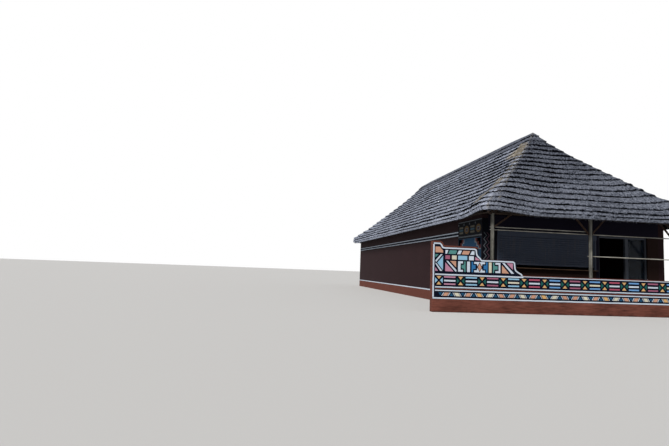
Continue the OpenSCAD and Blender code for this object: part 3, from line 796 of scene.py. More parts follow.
def lay_on_roof(roof, side, rows, ragged):
    """A grid laid over one slope, one column per reed bundle, with tufted butts and a bristly surface."""
    half = half_eave(side)
    stations = roof.stations(half)
    nx, ny = len(stations) - 1, len(rows) - 1
    bpy.ops.mesh.primitive_grid_add(x_subdivisions=nx, y_subdivisions=ny, size=2)
    piece = bpy.context.object
    mesh = piece.data
    climbed = [0.0]
    for a, b in zip(rows, rows[1:]):
        length = math.hypot(b.d - a.d, b.z - a.z) + abs(b.proud - a.proud)
        climbed.append(climbed[-1] + length * (CUT_DENSITY if is_cut_edge(b) else 1))
    places, gaps, marks = [], [], []
    tufts = {}
    for vertex in mesh.vertices:
        i, j = round((vertex.co.x + 1) / 2 * nx), round((vertex.co.y + 1) / 2 * ny)
        station, row = stations[i], rows[j]
        u, v, z, off_hip = roof.point(half, station, row)
        base = to_world(side, u, v, z)
        pitch = roof.pitch(row.d)
        out = to_world(side, math.sin(station[0]), -math.cos(station[0]), 0) - to_world(side, 0, 0, 0)
        # The gap mark: painted shade under the butts and on the underside; below 0, the pale cut ends
        gap = row.gap
        if row.butt is not None:
            if (i, row.butt) not in tufts:
                q = to_world(side, *roof.point(half, station, roof.top_row(row.butt))[:3])
                tufts[i, row.butt] = tuft(q, off_hip, roof.s, ragged)
            slide, open_by = tufts[i, row.butt]
            down = out * math.cos(pitch) - Vector((0, 0, math.sin(pitch)))
            base += down * slide * row.slide
            gap = min(1.0, max(0.0, row.gap * open_by))
        if is_cut_edge(row):
            bite = max(0.0, layered_noise(base, (12.0, 0.7), (31.0, 0.7), start=0.4))
            base -= out * ragged.eave * bite
            base.z -= ragged.eave * row.slide * layered_noise(base, (17.0, 1.2), start=0.6)
        elif row.bristle:
            normal = out * math.sin(pitch) + Vector((0, 0, math.cos(pitch)))
            base += normal * ragged.bristle * row.bristle * layered_noise(base, (9.0, 0.6), (24.0, 0.6))
        base.x = max(-HALF_W, min(HALF_W, base.x))
        base.y = max(-HALF_L, min(HALF_L, base.y))
        places.extend(base)
        gaps.append(gap)
        marks.append((u + half, climbed[j]))
    mesh.vertices.foreach_set("co", places)
    # The gap attribute carries that painted shade into the material
    mesh.attributes.new("gap", "FLOAT", "POINT").data.foreach_set("value", gaps)
    layer = mesh.uv_layers.active or mesh.uv_layers.new()
    layer.name = "reeds"
    layer.data.foreach_set("uv", [x for corner in mesh.loops for x in marks[corner.vertex_index]])
    with editing(piece):
        bpy.ops.mesh.remove_doubles(threshold=2e-5)
    return piece


def close_shell(piece):
    """Joins the open ends of a slope's grid and turns its faces outwards."""
    with editing(piece):
        bpy.ops.mesh.remove_doubles(threshold=1e-4)
        bpy.ops.mesh.fill_holes(sides=0)
        bpy.ops.mesh.normals_make_consistent(inside=False)


# Painted shapes

PAINTS = ("white", "navy", "plinth", "cream", "pink", "mauve", "sky", "blue", "teal", "peach", "gold", "red",
          "rose", "azure", "green", "petrol")
(WHITE, NAVY, PLINTH, CREAM, PINK, MAUVE, SKY, BLUE, TEAL, PEACH, GOLD, RED,
 ROSE, AZURE, GREEN, PETROL) = range(len(PAINTS))

# How far paint stands off its wall, each layer above the last, how far it is sunk in, and how much ground
# shows beside it
PAINT_LIFT, LAYER_LIFT, PAINT_SINK, PAINT_INSET = 0.004, 0.0008, 0.010, 0.006

# The brush: its seed, the points along an edge, how often the edge wanders, and how far
BRUSH_SEED, BRUSH_STEP, BRUSH_OFTEN, BRUSH_WANDER = 3, 0.13, 7, 0.004
SHARPEST_MITRE = 0.35


def rect(x0, z0, x1, z1):
    return [(x0, z0), (x1, z0), (x1, z1), (x0, z1)]


def mitre(before, after, by):
    """How far a corner between two edges moves to its left when both edges move by the same."""
    a, b = before.normalized(), after.normalized()
    across = Vector((-a.y - b.y, a.x + b.x)).normalized()
    return across * (by / max(SHARPEST_MITRE, across.dot(Vector((-a.y, a.x)))))


def ribbon(path, width):
    """Outline of a brushed line that follows a path, mitred at its corners."""
    left, right = [], []
    for k, p in enumerate(path):
        before = Vector(p) - Vector(path[k - 1]) if k else Vector(path[1]) - Vector(p)
        after = Vector(path[k + 1]) - Vector(p) if k + 1 < len(path) else before
        off = mitre(before, after, width / 2)
        left.append(tuple(Vector(p) + off))
        right.append(tuple(Vector(p) - off))
    return left + right[::-1]


def shrink(corners, by):
    """The outline with every side moved in, so that the dark ground shows as a line around it."""
    turn = sum(p[0] * q[1] - q[0] * p[1] for p, q in zip(corners, corners[1:] + corners[:1]))
    by = math.copysign(by, turn)
    ends = zip(corners[-1:] + corners, corners, corners[1:] + corners[:1])
    return [tuple(Vector(p) + mitre(Vector(p) - Vector(last), Vector(following) - Vector(p), by))
            for last, p, following in ends]


def wobble(corners, seed):
    """The outline with points added along its edges, each a little off the line, as a brush leaves it."""
    noise.seed_set(BRUSH_SEED)
    made = []
    for p, q in zip(corners, corners[1:] + corners[:1]):
        parts = max(1, round(math.dist(p, q) / BRUSH_STEP))
        for i in range(parts):
            x, z = p[0] + (q[0] - p[0]) * i / parts, p[1] + (q[1] - p[1]) * i / parts
            off = noise.noise_vector(Vector((x * BRUSH_OFTEN, z * BRUSH_OFTEN, seed)))
            made.append((x + off.x * BRUSH_WANDER, z + off.y * BRUSH_WANDER))
    return made


def empty_piece(name):
    """A new piece with nothing in its mesh yet."""
    bpy.ops.mesh.primitive_plane_add(size=0.01)
    piece = bpy.context.object
    piece.name = piece.data.name = name
    with editing(piece):
        bpy.ops.mesh.delete(type="VERT")
    return piece


def lay_paint(name, shapes, to_wall, materials, inset=0.0):
    """Thin flat shapes on a wall: (paint, layer, corners), lifted by layer and sunk into the plaster."""
    piece = empty_piece(name)
    with editing(piece):
        for seed, (colour, layer, corners) in enumerate(shapes):
            corners = wobble(corners if layer else shrink(corners, inset), seed * 0.37)
            bpy.ops.mesh.primitive_circle_add(vertices=len(corners), radius=0.01, fill_type="NGON")
            bm = bmesh.from_edit_mesh(piece.data)
            field = next(face for face in bm.faces if face.select)
            for vertex, corner in zip(field.verts, corners):
                vertex.co = to_wall(*corner, PAINT_LIFT + LAYER_LIFT * layer)
            field.material_index = colour
            bmesh.update_edit_mesh(piece.data)
    for material in materials:
        piece.data.materials.append(material)
    outward = (to_wall(0, 0, 1) - to_wall(0, 0, 0)).normalized()
    with editing(piece, "FACE", "DESELECT") as bm:
        bm.normal_update()
        for face in bm.faces:
            face.select = face.normal.dot(outward) < 0
        bmesh.update_edit_mesh(piece.data)
        bpy.ops.mesh.flip_normals()
    modify(piece, "SOLIDIFY", thickness=PAINT_SINK, offset=-1.0)
    hand_over(piece, "painted_plaster")


def wall_face(axis, face, outward):
    """Places on a wall's face across X (axis 0) or Y (axis 1): along it, up it, and lifted off it."""

    def place(along, z, lift):
        off = face + outward * lift
        return Vector((along, off, z) if axis else (off, along, z))

    return place


on_garden_front = wall_face(1, PLINTH_LOW.y, -1)
on_stoep_wall = wall_face(1, WALL_LOW.y, -1)
on_left_wall = wall_face(0, WALL_LOW.x, -1)
on_right_wall = wall_face(0, WALL_HIGH.x, 1)
on_back_wall = wall_face(1, WALL_HIGH.y, 1)


def crossed_box(x, z0, z1, half, sides):
    """A box parted by an X: gold above and below, another colour left and right."""
    zc, gap, cut = (z0 + z1) / 2, 0.028, 0.038
    shapes = []
    for edge, way in ((z1, 1), (z0, -1)):
        shapes.append((GOLD, 0, [(x - half + cut, edge), (x + half - cut, edge), (x, zc + way * gap)]))
    for way in (-1, 1):
        edge = x + way * half
        shapes.append((sides, 0, [(edge, z0 + cut), (edge, z1 - cut), (x + way * gap, zc)]))
    return shapes


# The low run: half a crossed box, the first one's middle, the distance to the next, and the gap beside each
BOX_HALF, BOX_FIRST, BOX_STEP, BOX_GAP = 0.128, -5.500, 0.7014, 0.034
NARROWEST_GAP = 0.05

# Where the line under the coping steps up beside the stepped end
STEP_END = -2.72

# Its leaning fields: from one to the next, half a small triangle, foot and head; the first one's middle, the
# gap beside a triangle, the white edge's width and the gap beside it
FIELD_STEP, TIP_HALF, FIELD_LOW, FIELD_HIGH = 0.361, 0.070, 0.490, 0.602
FIELD_FIRST, FIELD_LEAD, FIELD_EDGE, EDGE_GAP = -5.447, 0.026, 0.036, 0.008
FIELDS = (PEACH, CREAM, PEACH, GOLD, CREAM, PEACH)


def barred_gap(k, a, b):
    """Three bars between two crossed boxes."""
    outer = (PINK, SKY, MAUVE, SKY)[k] if k < 4 else (ROSE, AZURE, MAUVE, AZURE)[k % 4]
    middle = CREAM if k % 4 == 3 else WHITE
    return [(outer, 0, rect(a, 1.043, b, 1.100)), (middle, 0, rect(a, 0.929, b, 0.991)),
            (outer, 0, rect(a, 0.828, b, 0.883))]


def leaning_field(k, middle):
    """A small triangle, and the leaning field between it and the next, white along both edges."""
    z0, z1 = FIELD_LOW, FIELD_HIGH
    foot, tip = (z0, z1) if k % 2 else (z1, z0)
    low, high = (TIP_HALF, 0.0) if k % 2 else (0.0, TIP_HALF)
    left_low, left_high = middle + low + FIELD_LEAD, middle + high + FIELD_LEAD
    right_low, right_high = middle + FIELD_STEP - high - FIELD_LEAD, middle + FIELD_STEP - low - FIELD_LEAD
    inner = FIELD_EDGE + EDGE_GAP
    return [
        (PETROL, 0, [(middle - TIP_HALF, foot), (middle + TIP_HALF, foot), (middle, tip)]),
        (WHITE, 0, [(left_low, z0), (left_low + FIELD_EDGE, z0), (left_high + FIELD_EDGE, z1),
                    (left_high, z1)]),
        (FIELDS[k % len(FIELDS)], 0, [
            (left_low + inner, z0), (right_low - FIELD_EDGE - EDGE_GAP, z0),
            (right_high - FIELD_EDGE - EDGE_GAP, z1), (left_high + inner, z1)]),
        (WHITE, 0, [(right_low - FIELD_EDGE, z0), (right_low, z0), (right_high, z1),
                    (right_high - FIELD_EDGE, z1)]),
    ]


def low_wall_shapes(x_end):
    """Bands that run the whole length of the garden wall."""
    left, top = STEPS_LOW.x, COPING_TOP
    inner = left + 0.075
    shapes = [
        (WHITE, 1, rect(STEP_END, top - 0.050, x_end, top - 0.011)),
        (WHITE, 1, rect(inner, top - 0.078, STEP_END, top - 0.036)),
        (WHITE, 0, rect(inner, 0.737, x_end, 0.783)),
        (PLINTH, 0, rect(inner, 0.688, x_end, 0.728)),
        (WHITE, 0, rect(inner, 0.635, x_end, 0.680)),
        (WHITE, 0, rect(left + 0.002, 0.398, x_end, 0.451)),
    ]
    for k in range(int((x_end - BOX_FIRST) / BOX_STEP) + 1):
        x = BOX_FIRST + k * BOX_STEP
        if x + BOX_HALF < x_end:
            shapes += crossed_box(x, 0.830, 1.098, BOX_HALF, GREEN if k else SKY)
        a, b = x + BOX_HALF + BOX_GAP, min(x + BOX_STEP - BOX_HALF - BOX_GAP, x_end)
        if b - a > NARROWEST_GAP:
            shapes += barred_gap(k, a, b)
    k, middle = 0, FIELD_FIRST
    while middle + FIELD_STEP + TIP_HALF < x_end:
        shapes += leaning_field(k, middle)
        middle += FIELD_STEP
        k += 1
    return shapes


# The panel of the stepped end: its left edge, both sides of the gap after its first field, and the corners
# of every shape in it, by x and z
PANEL_LEFT, FIRST_RIGHT, SECOND_LEFT = -5.628, -5.370, -5.306
STEPPED_PANEL = [
    (PEACH, 0, [(PANEL_LEFT, 1.806), (FIRST_RIGHT, 1.806), (FIRST_RIGHT, 1.880), (-5.425, 1.925),
                (-5.475, 1.995), (PANEL_LEFT, 1.995)]),
    (TEAL, 0, [(PANEL_LEFT, 1.762), (-5.505, 1.762), (PANEL_LEFT, 1.640)]),
    (WHITE, 0, [(-5.455, 1.764), (-5.380, 1.764), (-5.600, 1.505), (PANEL_LEFT, 1.560)]),
    (WHITE, 0, [(PANEL_LEFT, 1.470), (-5.600, 1.502), (-5.380, 1.244), (-5.465, 1.244)]),
    (SKY, 0, [(FIRST_RIGHT, 1.725), (FIRST_RIGHT, 1.262), (-5.565, 1.495)]),
    (PINK, 0, [(PANEL_LEFT, 1.375), (-5.515, 1.244), (PANEL_LEFT, 1.244)]),
    (WHITE, 0, [(SECOND_LEFT, 1.900), (-5.205, 1.900), (-5.248, 1.775), (SECOND_LEFT, 1.775)]),
    (TEAL, 0, [(-5.165, 1.900), (-4.911, 1.900), (-4.967, 1.775), (-5.218, 1.775)]),
    (WHITE, 0, [(-4.869, 1.900), (-4.758, 1.900), (-4.814, 1.775), (-4.930, 1.775)]),
    (PEACH, 0, [(-4.722, 1.900), (-4.489, 1.900), (-4.550, 1.775), (-4.782, 1.775)]),
    (WHITE, 0, [(-4.440, 1.900), (-4.352, 1.900), (-4.352, 1.775), (-4.508, 1.775)]),
    (MAUVE, 0, rect(SECOND_LEFT, 1.612, -5.147, 1.742)),
    (CREAM, 0, rect(-5.092, 1.608, -4.932, 1.744)),
    (SKY, 0, rect(-4.892, 1.606, -4.586, 1.744)),
    (WHITE, 0, rect(-4.536, 1.604, -4.369, 1.744)),
    (PINK, 0, [(-4.328, 1.728), (-4.180, 1.640), (-4.180, 1.612), (-4.328, 1.612)]),
    (PINK, 0, [(SECOND_LEFT, 1.530), (-5.020, 1.240), (SECOND_LEFT, 1.240)]),
    (WHITE, 0, [(-5.285, 1.572), (-5.215, 1.572), (-4.935, 1.292), (-4.935, 1.240), (-4.975, 1.240)]),
    (PEACH, 0, [(-5.160, 1.572), (-4.947, 1.572), (-4.947, 1.358)]),
    (WHITE, 0, [(-4.892, 1.240), (-4.722, 1.240), (-4.722, 1.310), (-4.800, 1.310), (-4.800, 1.500),
                (-4.722, 1.500), (-4.722, 1.572), (-4.892, 1.572)]),
    (TEAL, 0, [(-4.775, 1.345), (-4.715, 1.345), (-4.690, 1.320), (-4.690, 1.240), (-4.640, 1.240),
               (-4.640, 1.572), (-4.690, 1.572), (-4.690, 1.490), (-4.715, 1.465), (-4.775, 1.465)]),
    (WHITE, 0, rect(-4.600, 1.240, -4.494, 1.572)),
    (BLUE, 0, [(-4.450, 1.240), (-4.390, 1.240), (-4.390, 1.340), (-4.312, 1.340), (-4.312, 1.475),
               (-4.390, 1.475), (-4.390, 1.572), (-4.450, 1.572)]),
    (WHITE, 0, [(-4.365, 1.240), (-4.000, 1.240), (-4.000, 1.312), (-4.085, 1.312), (-4.120, 1.406),
                (-4.085, 1.500), (-4.000, 1.500), (-4.000, 1.572), (-4.365, 1.572), (-4.365, 1.500),
                (-4.280, 1.500), (-4.245, 1.406), (-4.280, 1.312), (-4.365, 1.312)]),
    (NAVY, 1, [(-4.1825, 1.250), (-4.098, 1.406), (-4.1825, 1.562), (-4.267, 1.406)]),
    (PEACH, 2, [(-4.1825, 1.288), (-4.122, 1.406), (-4.1825, 1.524), (-4.243, 1.406)]),
    (BLUE, 0, [(-3.915, 1.240), (-3.975, 1.240), (-3.975, 1.340), (-4.053, 1.340), (-4.053, 1.475),
               (-3.975, 1.475), (-3.975, 1.572), (-3.915, 1.572)]),
    (CREAM, 0, rect(-3.883, 1.240, -3.780, 1.572)),
    (TEAL, 0, [(-3.745, 1.240), (-3.695, 1.240), (-3.695, 1.320), (-3.670, 1.345), (-3.580, 1.345),
               (-3.580, 1.465), (-3.670, 1.465), (-3.695, 1.490), (-3.695, 1.572), (-3.745, 1.572)]),
    (WHITE, 0, [(-3.489, 1.240), (-3.665, 1.240), (-3.665, 1.310), (-3.555, 1.310), (-3.555, 1.500),
                (-3.665, 1.500), (-3.665, 1.572), (-3.489, 1.572)]),
    (PEACH, 0, [(-3.444, 1.510), (-3.190, 1.240), (-3.444, 1.240)]),
    (WHITE, 0, [(-3.444, 1.572), (-3.356, 1.572), (-3.020, 1.240), (-3.130, 1.240)]),
    (PINK, 0, [(-3.300, 1.572), (-3.070, 1.572), (-3.070, 1.350)]),
]


def stepped_end_shapes():
    """The panel of the stepped end, and the lines that follow its outline."""
    left, top = STEPS_LOW.x, STEPS_HIGH.z
    second, third, low = 2.035, 1.655, COPING_TOP
    coping = [
        (left + 0.003, top - 0.022), (-5.47, top - 0.022), (-5.41, top - 0.06), (-5.37, second - 0.005),
        (-5.30, second - 0.022), (-4.31, second - 0.022), (-4.255, second - 0.05)]
    line = [
        (left + 0.02, top - 0.078), (-5.487, top - 0.078), (-5.44, top - 0.110), (-5.395, second - 0.062),
        (-5.325, second - 0.078), (-4.345, second - 0.078), (-4.300, second - 0.110), (-4.285, 1.800),
        (-4.250, 1.740), (-4.180, 1.680), (-4.120, third - 0.045), (-3.070, third - 0.045),
        (-3.020, third - 0.080), (-3.005, 1.400), (-2.975, 1.335), (-2.900, 1.285), (-2.800, 1.235),
        (-2.745, low - 0.032), (-2.700, low - 0.028)]
    return [(PLINTH, 1, ribbon(coping, 0.042)), (WHITE, 2, ribbon(line, 0.042)),
            (WHITE, 1, rect(left + 0.003, 0.456, left + 0.045, top - 0.105))] + STEPPED_PANEL


def side_wall_shapes(u0, u1):
    """Plinth and twin lines that run along a plain wall."""
    return [
        (PLINTH, 0, rect(u0, 0.005, u1, 0.420)),
        (WHITE, 1, rect(u0, 0.420, u1, 0.470)),
        (NAVY, 0, rect(u0, 2.590, u1, 2.780)),
        (WHITE, 1, rect(u0, 2.600, u1, 2.640)),
        (WHITE, 1, rect(u0, 2.725, u1, 2.765)),
    ]


# The painted bay: its length, the margin at both ends, and the middle and half the height of its panel
BAY_DEPTH, BAY_MARGIN, PANEL_MIDDLE, PANEL_HALF = 2.0, 0.04, 1.735, 0.735
PETAL = ((0.0, 0.03), (0.16, 0.10), (0.34, 0.0), (0.16, -0.10), (0.0, -0.03))


def oval(u, z, ru, rz):
    corners = 14
    turns = [math.tau * k / corners for k in range(corners)]
    return [(u + ru * math.cos(turn), z + rz * math.sin(turn)) for turn in turns]


def cells(u0, u1, count):
    """Middles of the equal cells between two edges, and the width of one."""
    wide = (u1 - u0 - 2 * BAY_MARGIN) / count
    return [u0 + BAY_MARGIN + (k + 0.5) * wide for k in range(count)], wide


def frieze_shapes(u0, u1):
    """Round and barred motifs by turns."""
    middles, wide = cells(u0, u1, 4)
    shapes = []
    for k, c in enumerate(middles):
        if k % 2 == 0:
            shapes += [(GOLD, 3, oval(c, 2.790, wide * 0.42, 0.150)),
                       (WHITE, 4, rect(c - 0.10, 2.725, c + 0.10, 2.855)),
                       (RED, 5, rect(c - 0.05, 2.760, c + 0.05, 2.820))]
        else:
            for colour, foot in ((CREAM, 2.850), (SKY, 2.755), (CREAM, 2.660)):
                shapes.append((colour, 3, rect(c - 0.17, foot, c + 0.17, foot + 0.070)))
        shapes.append((WHITE, 3, rect(c + wide / 2 - 0.035, 2.965, c + wide / 2 + 0.035, 3.035)))
    return shapes


def stepped_corner(mid, half, su, sz):
    """Red steps with a white edge in one corner of the bay's panel."""
    u, z = mid + su * half - su * 0.02, PANEL_MIDDLE + sz * PANEL_HALF - sz * 0.02
    shapes = []
    for size, rim, colour, layer in ((0.46, 0.02, WHITE, 4), (0.42, 0.0, RED, 5)):
        for part in range(3):
            reach, deep = size - part * 0.14 + rim, 0.12 + part * 0.12 + 2 * rim
            (x0, x1), (z0, z1) = sorted((u, u - su * reach)), sorted((z, z - sz * deep))
            shapes.append((colour, layer, rect(x0, z0, x1, z1)))
    return shapes


def painted_bay_shapes(u0, u1):
    """Frieze, panel and zigzag on the part of the left wall next to the stoep."""
    mid = (u0 + u1) / 2
    shapes = [
        (NAVY, 2, rect(u0, 0.480, u1, 3.120)),
        (WHITE, 3, rect(u0 + 0.02, 2.520, u1 - 0.02, 2.570)),
        (WHITE, 3, rect(u0 + 0.02, 3.070, u1 - 0.02, 3.105)),
        (WHITE, 3, rect(u0 + 0.02, 0.900, u1 - 0.02, 0.945)),
        (BLUE, 3, rect(u0 + 0.06, 1.000, u1 - 0.06, 2.470)),
    ] + frieze_shapes(u0, u1)
    for su in (-1, 1):
        for sz in (-1, 1):
            shapes += stepped_corner(mid, (u1 - u0 - 0.12) / 2, su, sz)
    for quarter in range(4):
        cos, sin = math.cos(quarter * math.pi / 2), math.sin(quarter * math.pi / 2)
        for grow, colour, layer in ((1.14, WHITE, 4), (1.0, GOLD, 5)):
            shapes.append((colour, layer, [(mid + (p * cos - q * sin) * grow,
                                            PANEL_MIDDLE + (p * sin + q * cos) * grow) for p, q in PETAL]))
    shapes.append((RED, 6, rect(mid - 0.06, PANEL_MIDDLE - 0.06, mid + 0.06, PANEL_MIDDLE + 0.06)))
    middles, wide = cells(u0, u1, 5)
    for k, c in enumerate(middles):
        left, right = c - wide / 2, c + wide / 2
        shapes += [(WHITE, 3, [(left + 0.01, 0.520), (right - 0.01, 0.520), (c, 0.865)]),
                   (PEACH if k % 2 else TEAL, 4, [(left + 0.09, 0.555), (right - 0.09, 0.555), (c, 0.775)])]
    return shapes


def left_pier_shapes():
    """White and pink zigzags on the narrow pier left of the hatch."""
    left, right = WALL_LOW.x + 0.004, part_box("front_wall_left_pier")[1].x - 0.012
    notch, foot, under_beam, top = -3.275, 0.27, 2.690, 3.110
    shapes = [(NAVY, 0, [(left, foot), (right, foot), (right, under_beam), (notch, under_beam), (notch, top),
                         (left, top)])]
    for k, colour in enumerate((WHITE, PINK)):
        start = left + 0.05 + 0.11 * k
        path = [(start + (0.10 if i % 2 else 0.0), 1.25 + 0.115 * i) for i in range(13)]
        shapes.append((colour, 1, ribbon(path, 0.022)))
    return shapes


# Straw blades

BLADE_TAPER, BLADE_TURNS = 0.6, (0, 2.094, 4.189)


def add_blade(bm, points, width):
    """A three-sided blade that tapers along its points."""
    rings = []
    for k, p in enumerate(points):
        ahead = (points[min(k + 1, len(points) - 1)] - points[max(k - 1, 0)]).normalized()
        side = ahead.orthogonal().normalized()
        other = ahead.cross(side)
        reach = width / 2 * (1 - BLADE_TAPER * k / (len(points) - 1))
        rings.append([bm.verts.new(p + (side * math.cos(a) + other * math.sin(a)) * reach)
                      for a in BLADE_TURNS])
    for low, high in zip(rings, rings[1:]):
        for k in range(3):
            bm.faces.new((low[k], low[(k + 1) % 3], high[(k + 1) % 3], high[k]))
    bm.faces.new(reversed(rings[0]))
    bm.faces.new(rings[-1])


def blades_piece(name, blades, material):
    piece = empty_piece(name)
    bm = bmesh.new()
    for points, width in blades:
        add_blade(bm, points, width)
    bm.to_mesh(piece.data)
    bm.free()
    with editing(piece):
        bpy.ops.mesh.normals_make_consistent(inside=False)
    piece.data.materials.append(material)
    hand_over(piece, "thatch")


# Operators


class HutOperator(bpy.types.Operator):
    """Base of the hut's operators: each makes one piece or group of pieces."""

    bl_options = {"REGISTER", "UNDO"}

    def execute(self, context):
        self.make(context.scene.hut)
        return {"FINISHED"}


# Floor, sky, sun and camera
FLOOR_RADIUS, FLOOR_GREY = 320, (0.55, 0.55, 0.55, 1)
GLOW, GLOW_STRENGTH, BACKDROP = (0.93, 0.96, 1.0, 1), 0.24, (1, 1, 1, 1)
SUN_STRENGTH, SUN_SPREAD, SUN_COLOUR = 3.8, math.radians(14), (1.0, 0.97, 0.93)
SUN_TOWARDS, SUN_PLACE = Vector((-0.52, -0.50, 0.69)), (-20, -20, 25)
SENSOR_WIDTH, VIEW_DEPTH = 36, 900


class HUT_OT_stage(HutOperator):
    """Floor, sky, lamp and camera."""

    bl_idname = "hut.stage"
    bl_label = "Stage"

    def make(self, s):
        deselect()
        scene = bpy.context.scene
        scene.view_settings.view_transform = "Standard"
        bpy.ops.mesh.primitive_circle_add(
            vertices=96, radius=FLOOR_RADIUS, fill_type="NGON", location=(0, 0, 0))
        floor = bpy.context.object
        floor.name = "floor"
        material, _, shader = new_material("Floor", specular=0.1)
        shader.inputs["Base Color"].default_value = FLOOR_GREY
        shader.inputs["Roughness"].default_value = 0.95
        floor.data.materials.append(material)
        self.light(scene)
        self.set_camera(scene, s.camera)

    def light(self, scene):
        """A soft sun, a weak bluish sky, and a white backdrop for what looks straight at it."""
        world = bpy.data.worlds.new("Studio")
        scene.world = world
        world.use_nodes = True
        world.node_tree.nodes.clear()
        t = Tree(world.node_tree)
        path = t.add("LightPath").outputs
        mirrored = t.maths("MAXIMUM", path["Is Glossy Ray"], path["Is Transmission Ray"])
        seen = t.maths("MAXIMUM", path["Is Camera Ray"], mirrored)
        glow = t.add("Background", {"Color": GLOW, "Strength": GLOW_STRENGTH})
        back = t.add("Background", {"Color": BACKDROP, "Strength": 1.0})
        mixed = t.add("MixShader", {0: seen, 1: glow.outputs[0], 2: back.outputs[0]})
        t.add("OutputWorld", {0: mixed.outputs[0]})
        bpy.ops.object.light_add(type="SUN", location=SUN_PLACE)
        lamp = bpy.context.object
        lamp.data.energy = SUN_STRENGTH
        lamp.data.angle = SUN_SPREAD
        lamp.data.color = SUN_COLOUR
        lamp.rotation_euler = SUN_TOWARDS.to_track_quat("Z", "Y").to_euler()

    def set_camera(self, scene, c):
        bpy.ops.object.camera_add(location=c.place)
        camera = bpy.context.object
        camera.data.sensor_width = SENSOR_WIDTH
        camera.data.lens = c.lens
        camera.data.clip_end = VIEW_DEPTH
        turn = (Matrix.Rotation(-c.yaw, 4, "Z") @ Matrix.Rotation(math.radians(90) + c.pitch, 4, "X")
                @ Matrix.Rotation(c.roll, 4, "Z"))
        camera.rotation_euler = turn.to_euler()
        scene.camera = camera


class HUT_OT_shader_groups(HutOperator):
    """Node groups that the materials share."""

    bl_idname = "hut.shader_groups"
    bl_label = "Shader groups"

    def make(self, s):
        make_hand_finish()
        make_reeds()
        make_hip_wear()
        make_timber()
        make_rain_streaks()


class HUT_OT_thatch(HutOperator):
    """Four slopes of stepped reed thatch."""

    bl_idname = "hut.thatch"
    bl_label = "Thatch"

    def make(self, s):
        roof = RoofProfile(s.roof, s.roof.hip_soft)
        # The sides' reed is painted lighter than the ends' as painted light, and takes more painted shade
        # under its butts
        ends = reed_thatch("Reed thatch, ends", contrast=1.7, damp=0.36, painted_light=0.93)
        sides = reed_thatch("Reed thatch, sides", contrast=2.0, painted_light=1.20, gap_from=0.15)
        for side in SIDES:
            material = ends if side in ("front", "back") else sides
            piece = lay_on_roof(roof, side, roof.thatch_rows(), s.ragged)
            piece.name = piece.data.name = "reeds_" + side
            close_shell(piece)
            piece.data.materials.append(material)
            shade(piece, degrees=42)
            hand_over(piece, "thatch", "thatch_" + side)


class HUT_OT_ridge_cap(HutOperator):
    """Layered cap along the ridge and over the tops of the hips."""

    bl_idname = "hut.ridge_cap"
    bl_label = "Ridge cap"

    def make(self, s):
        roof = RoofProfile(s.roof, s.roof.cap_soft)
        parts = [lay_on_roof(roof, side, roof.cap_rows(), s.ragged) for side in SIDES]
        piece = join(parts, "layered_cap")
        close_shell(piece)
        piece.data.materials.append(reed_thatch("Ridge layers", contrast=1.1, damp=0.2))
        shade(piece, degrees=42)
        hand_over(piece, "ridge_mortar", "ridge_cap")


class HUT_OT_straw(HutOperator):
    """Loose straw on the mended hip, and reed ends along the eaves."""

    bl_idname = "hut.straw"
    bl_label = "Straw"

    def make(self, s):
        roof = RoofProfile(s.roof, s.roof.hip_soft)
        c = s.colours
        straw = timber("Loose straw", tone(c.straw, 0.7), c.straw, grain=0.4)
        grey = timber("Grey reed ends", c.reed_dark, tone(c.reed_light, 0.8), grain=0.4)
        blades_piece("mending_straw", self.mending(roof), straw)
        blades_piece("eave_reed_ends", self.eave_ends(roof), grey)

    def by_hip(self, roof, side, off, d, step):
        """A place on a slope, off from its front hip as measured round the corner."""
        half, sign = (HALF_L, 1.0) if side == "left" else (HALF_W, -1.0)
        row = roof.top_row(d, step)
        arc = row.r * math.pi / 4
        if off < arc:
            station = (sign * (math.pi / 4 - off / row.r), sign)
        else:
            station = (0.0, sign * (1 - (off - arc) / (half - row.d - row.r)))
        return to_world(side, *roof.point(half, station, row)[:3])

    def mending(self, roof):
        """Strands that lie down the front left hip, thickest at its top."""
        strands, top_share, bunched, front_share = 780, 0.68, 0.5, 0.10
        along = (0, 0.35, 0.7, 1.0)
        rng = random.Random(11)
        blades = []
        for _ in range(strands):
            top = rng.random() < top_share
            if top:
                d = rng.uniform(3.0, 3.68)
            elif rng.random() < bunched:
                d = rng.choice((0.48, 1.38)) + rng.gauss(0.0, 0.15)
            else:
                d = rng.uniform(0.4, 3.0)
            side = "front" if not top and rng.random() < front_share else "left"
            if top:
                off = rng.uniform(0.04, 0.56)
            else:
                off = 0.06 + 0.4 * max(0.0, 1.5 - d) + abs(rng.gauss(0.0, 0.13))
            off *= 1.0 if side == "left" else 0.5
            fall, step = rng.uniform(0.12, 0.34), roof.s.butt_step * rng.uniform(0.5, 1.05)
            drift = rng.uniform(-0.03, 0.03)
            points = [self.by_hip(roof, side, max(0.0, off + drift * t), max(0.05, d - fall * t),
                                  step + 0.012 * math.sin(math.pi * t)) for t in along]
            blades.append((points, rng.uniform(0.004, 0.010)))
        return blades

    def eave_ends(self, roof):
        """Short reeds that stand out of the lower edge of the thatch."""
        each = 2
        rng = random.Random(5)
        blades = []
        low, high = roof.under_row(roof.s.eave_lean), roof.top_row(0.0)
        for side in SIDES:
            half = half_eave(side)
            for station in [station for station in roof.stations(half) for _ in range(each)]:
                t = rng.uniform(0.0, 0.35)
                mixed = [a + (b - a) * t for a, b in zip(low[:4], high[:4])]
                u, v, z = roof.point(half, station, Row(*mixed, 0, None, 0, 0, 0))[:3]
                start = to_world(side, u, v + 0.04, z + 0.03)
                end = to_world(side, u + rng.uniform(-0.012, 0.012), v + 0.02, z - rng.uniform(0.02, 0.065))
                blades.append(([start, (start + end) / 2, end], rng.uniform(0.008, 0.014)))
        return blades


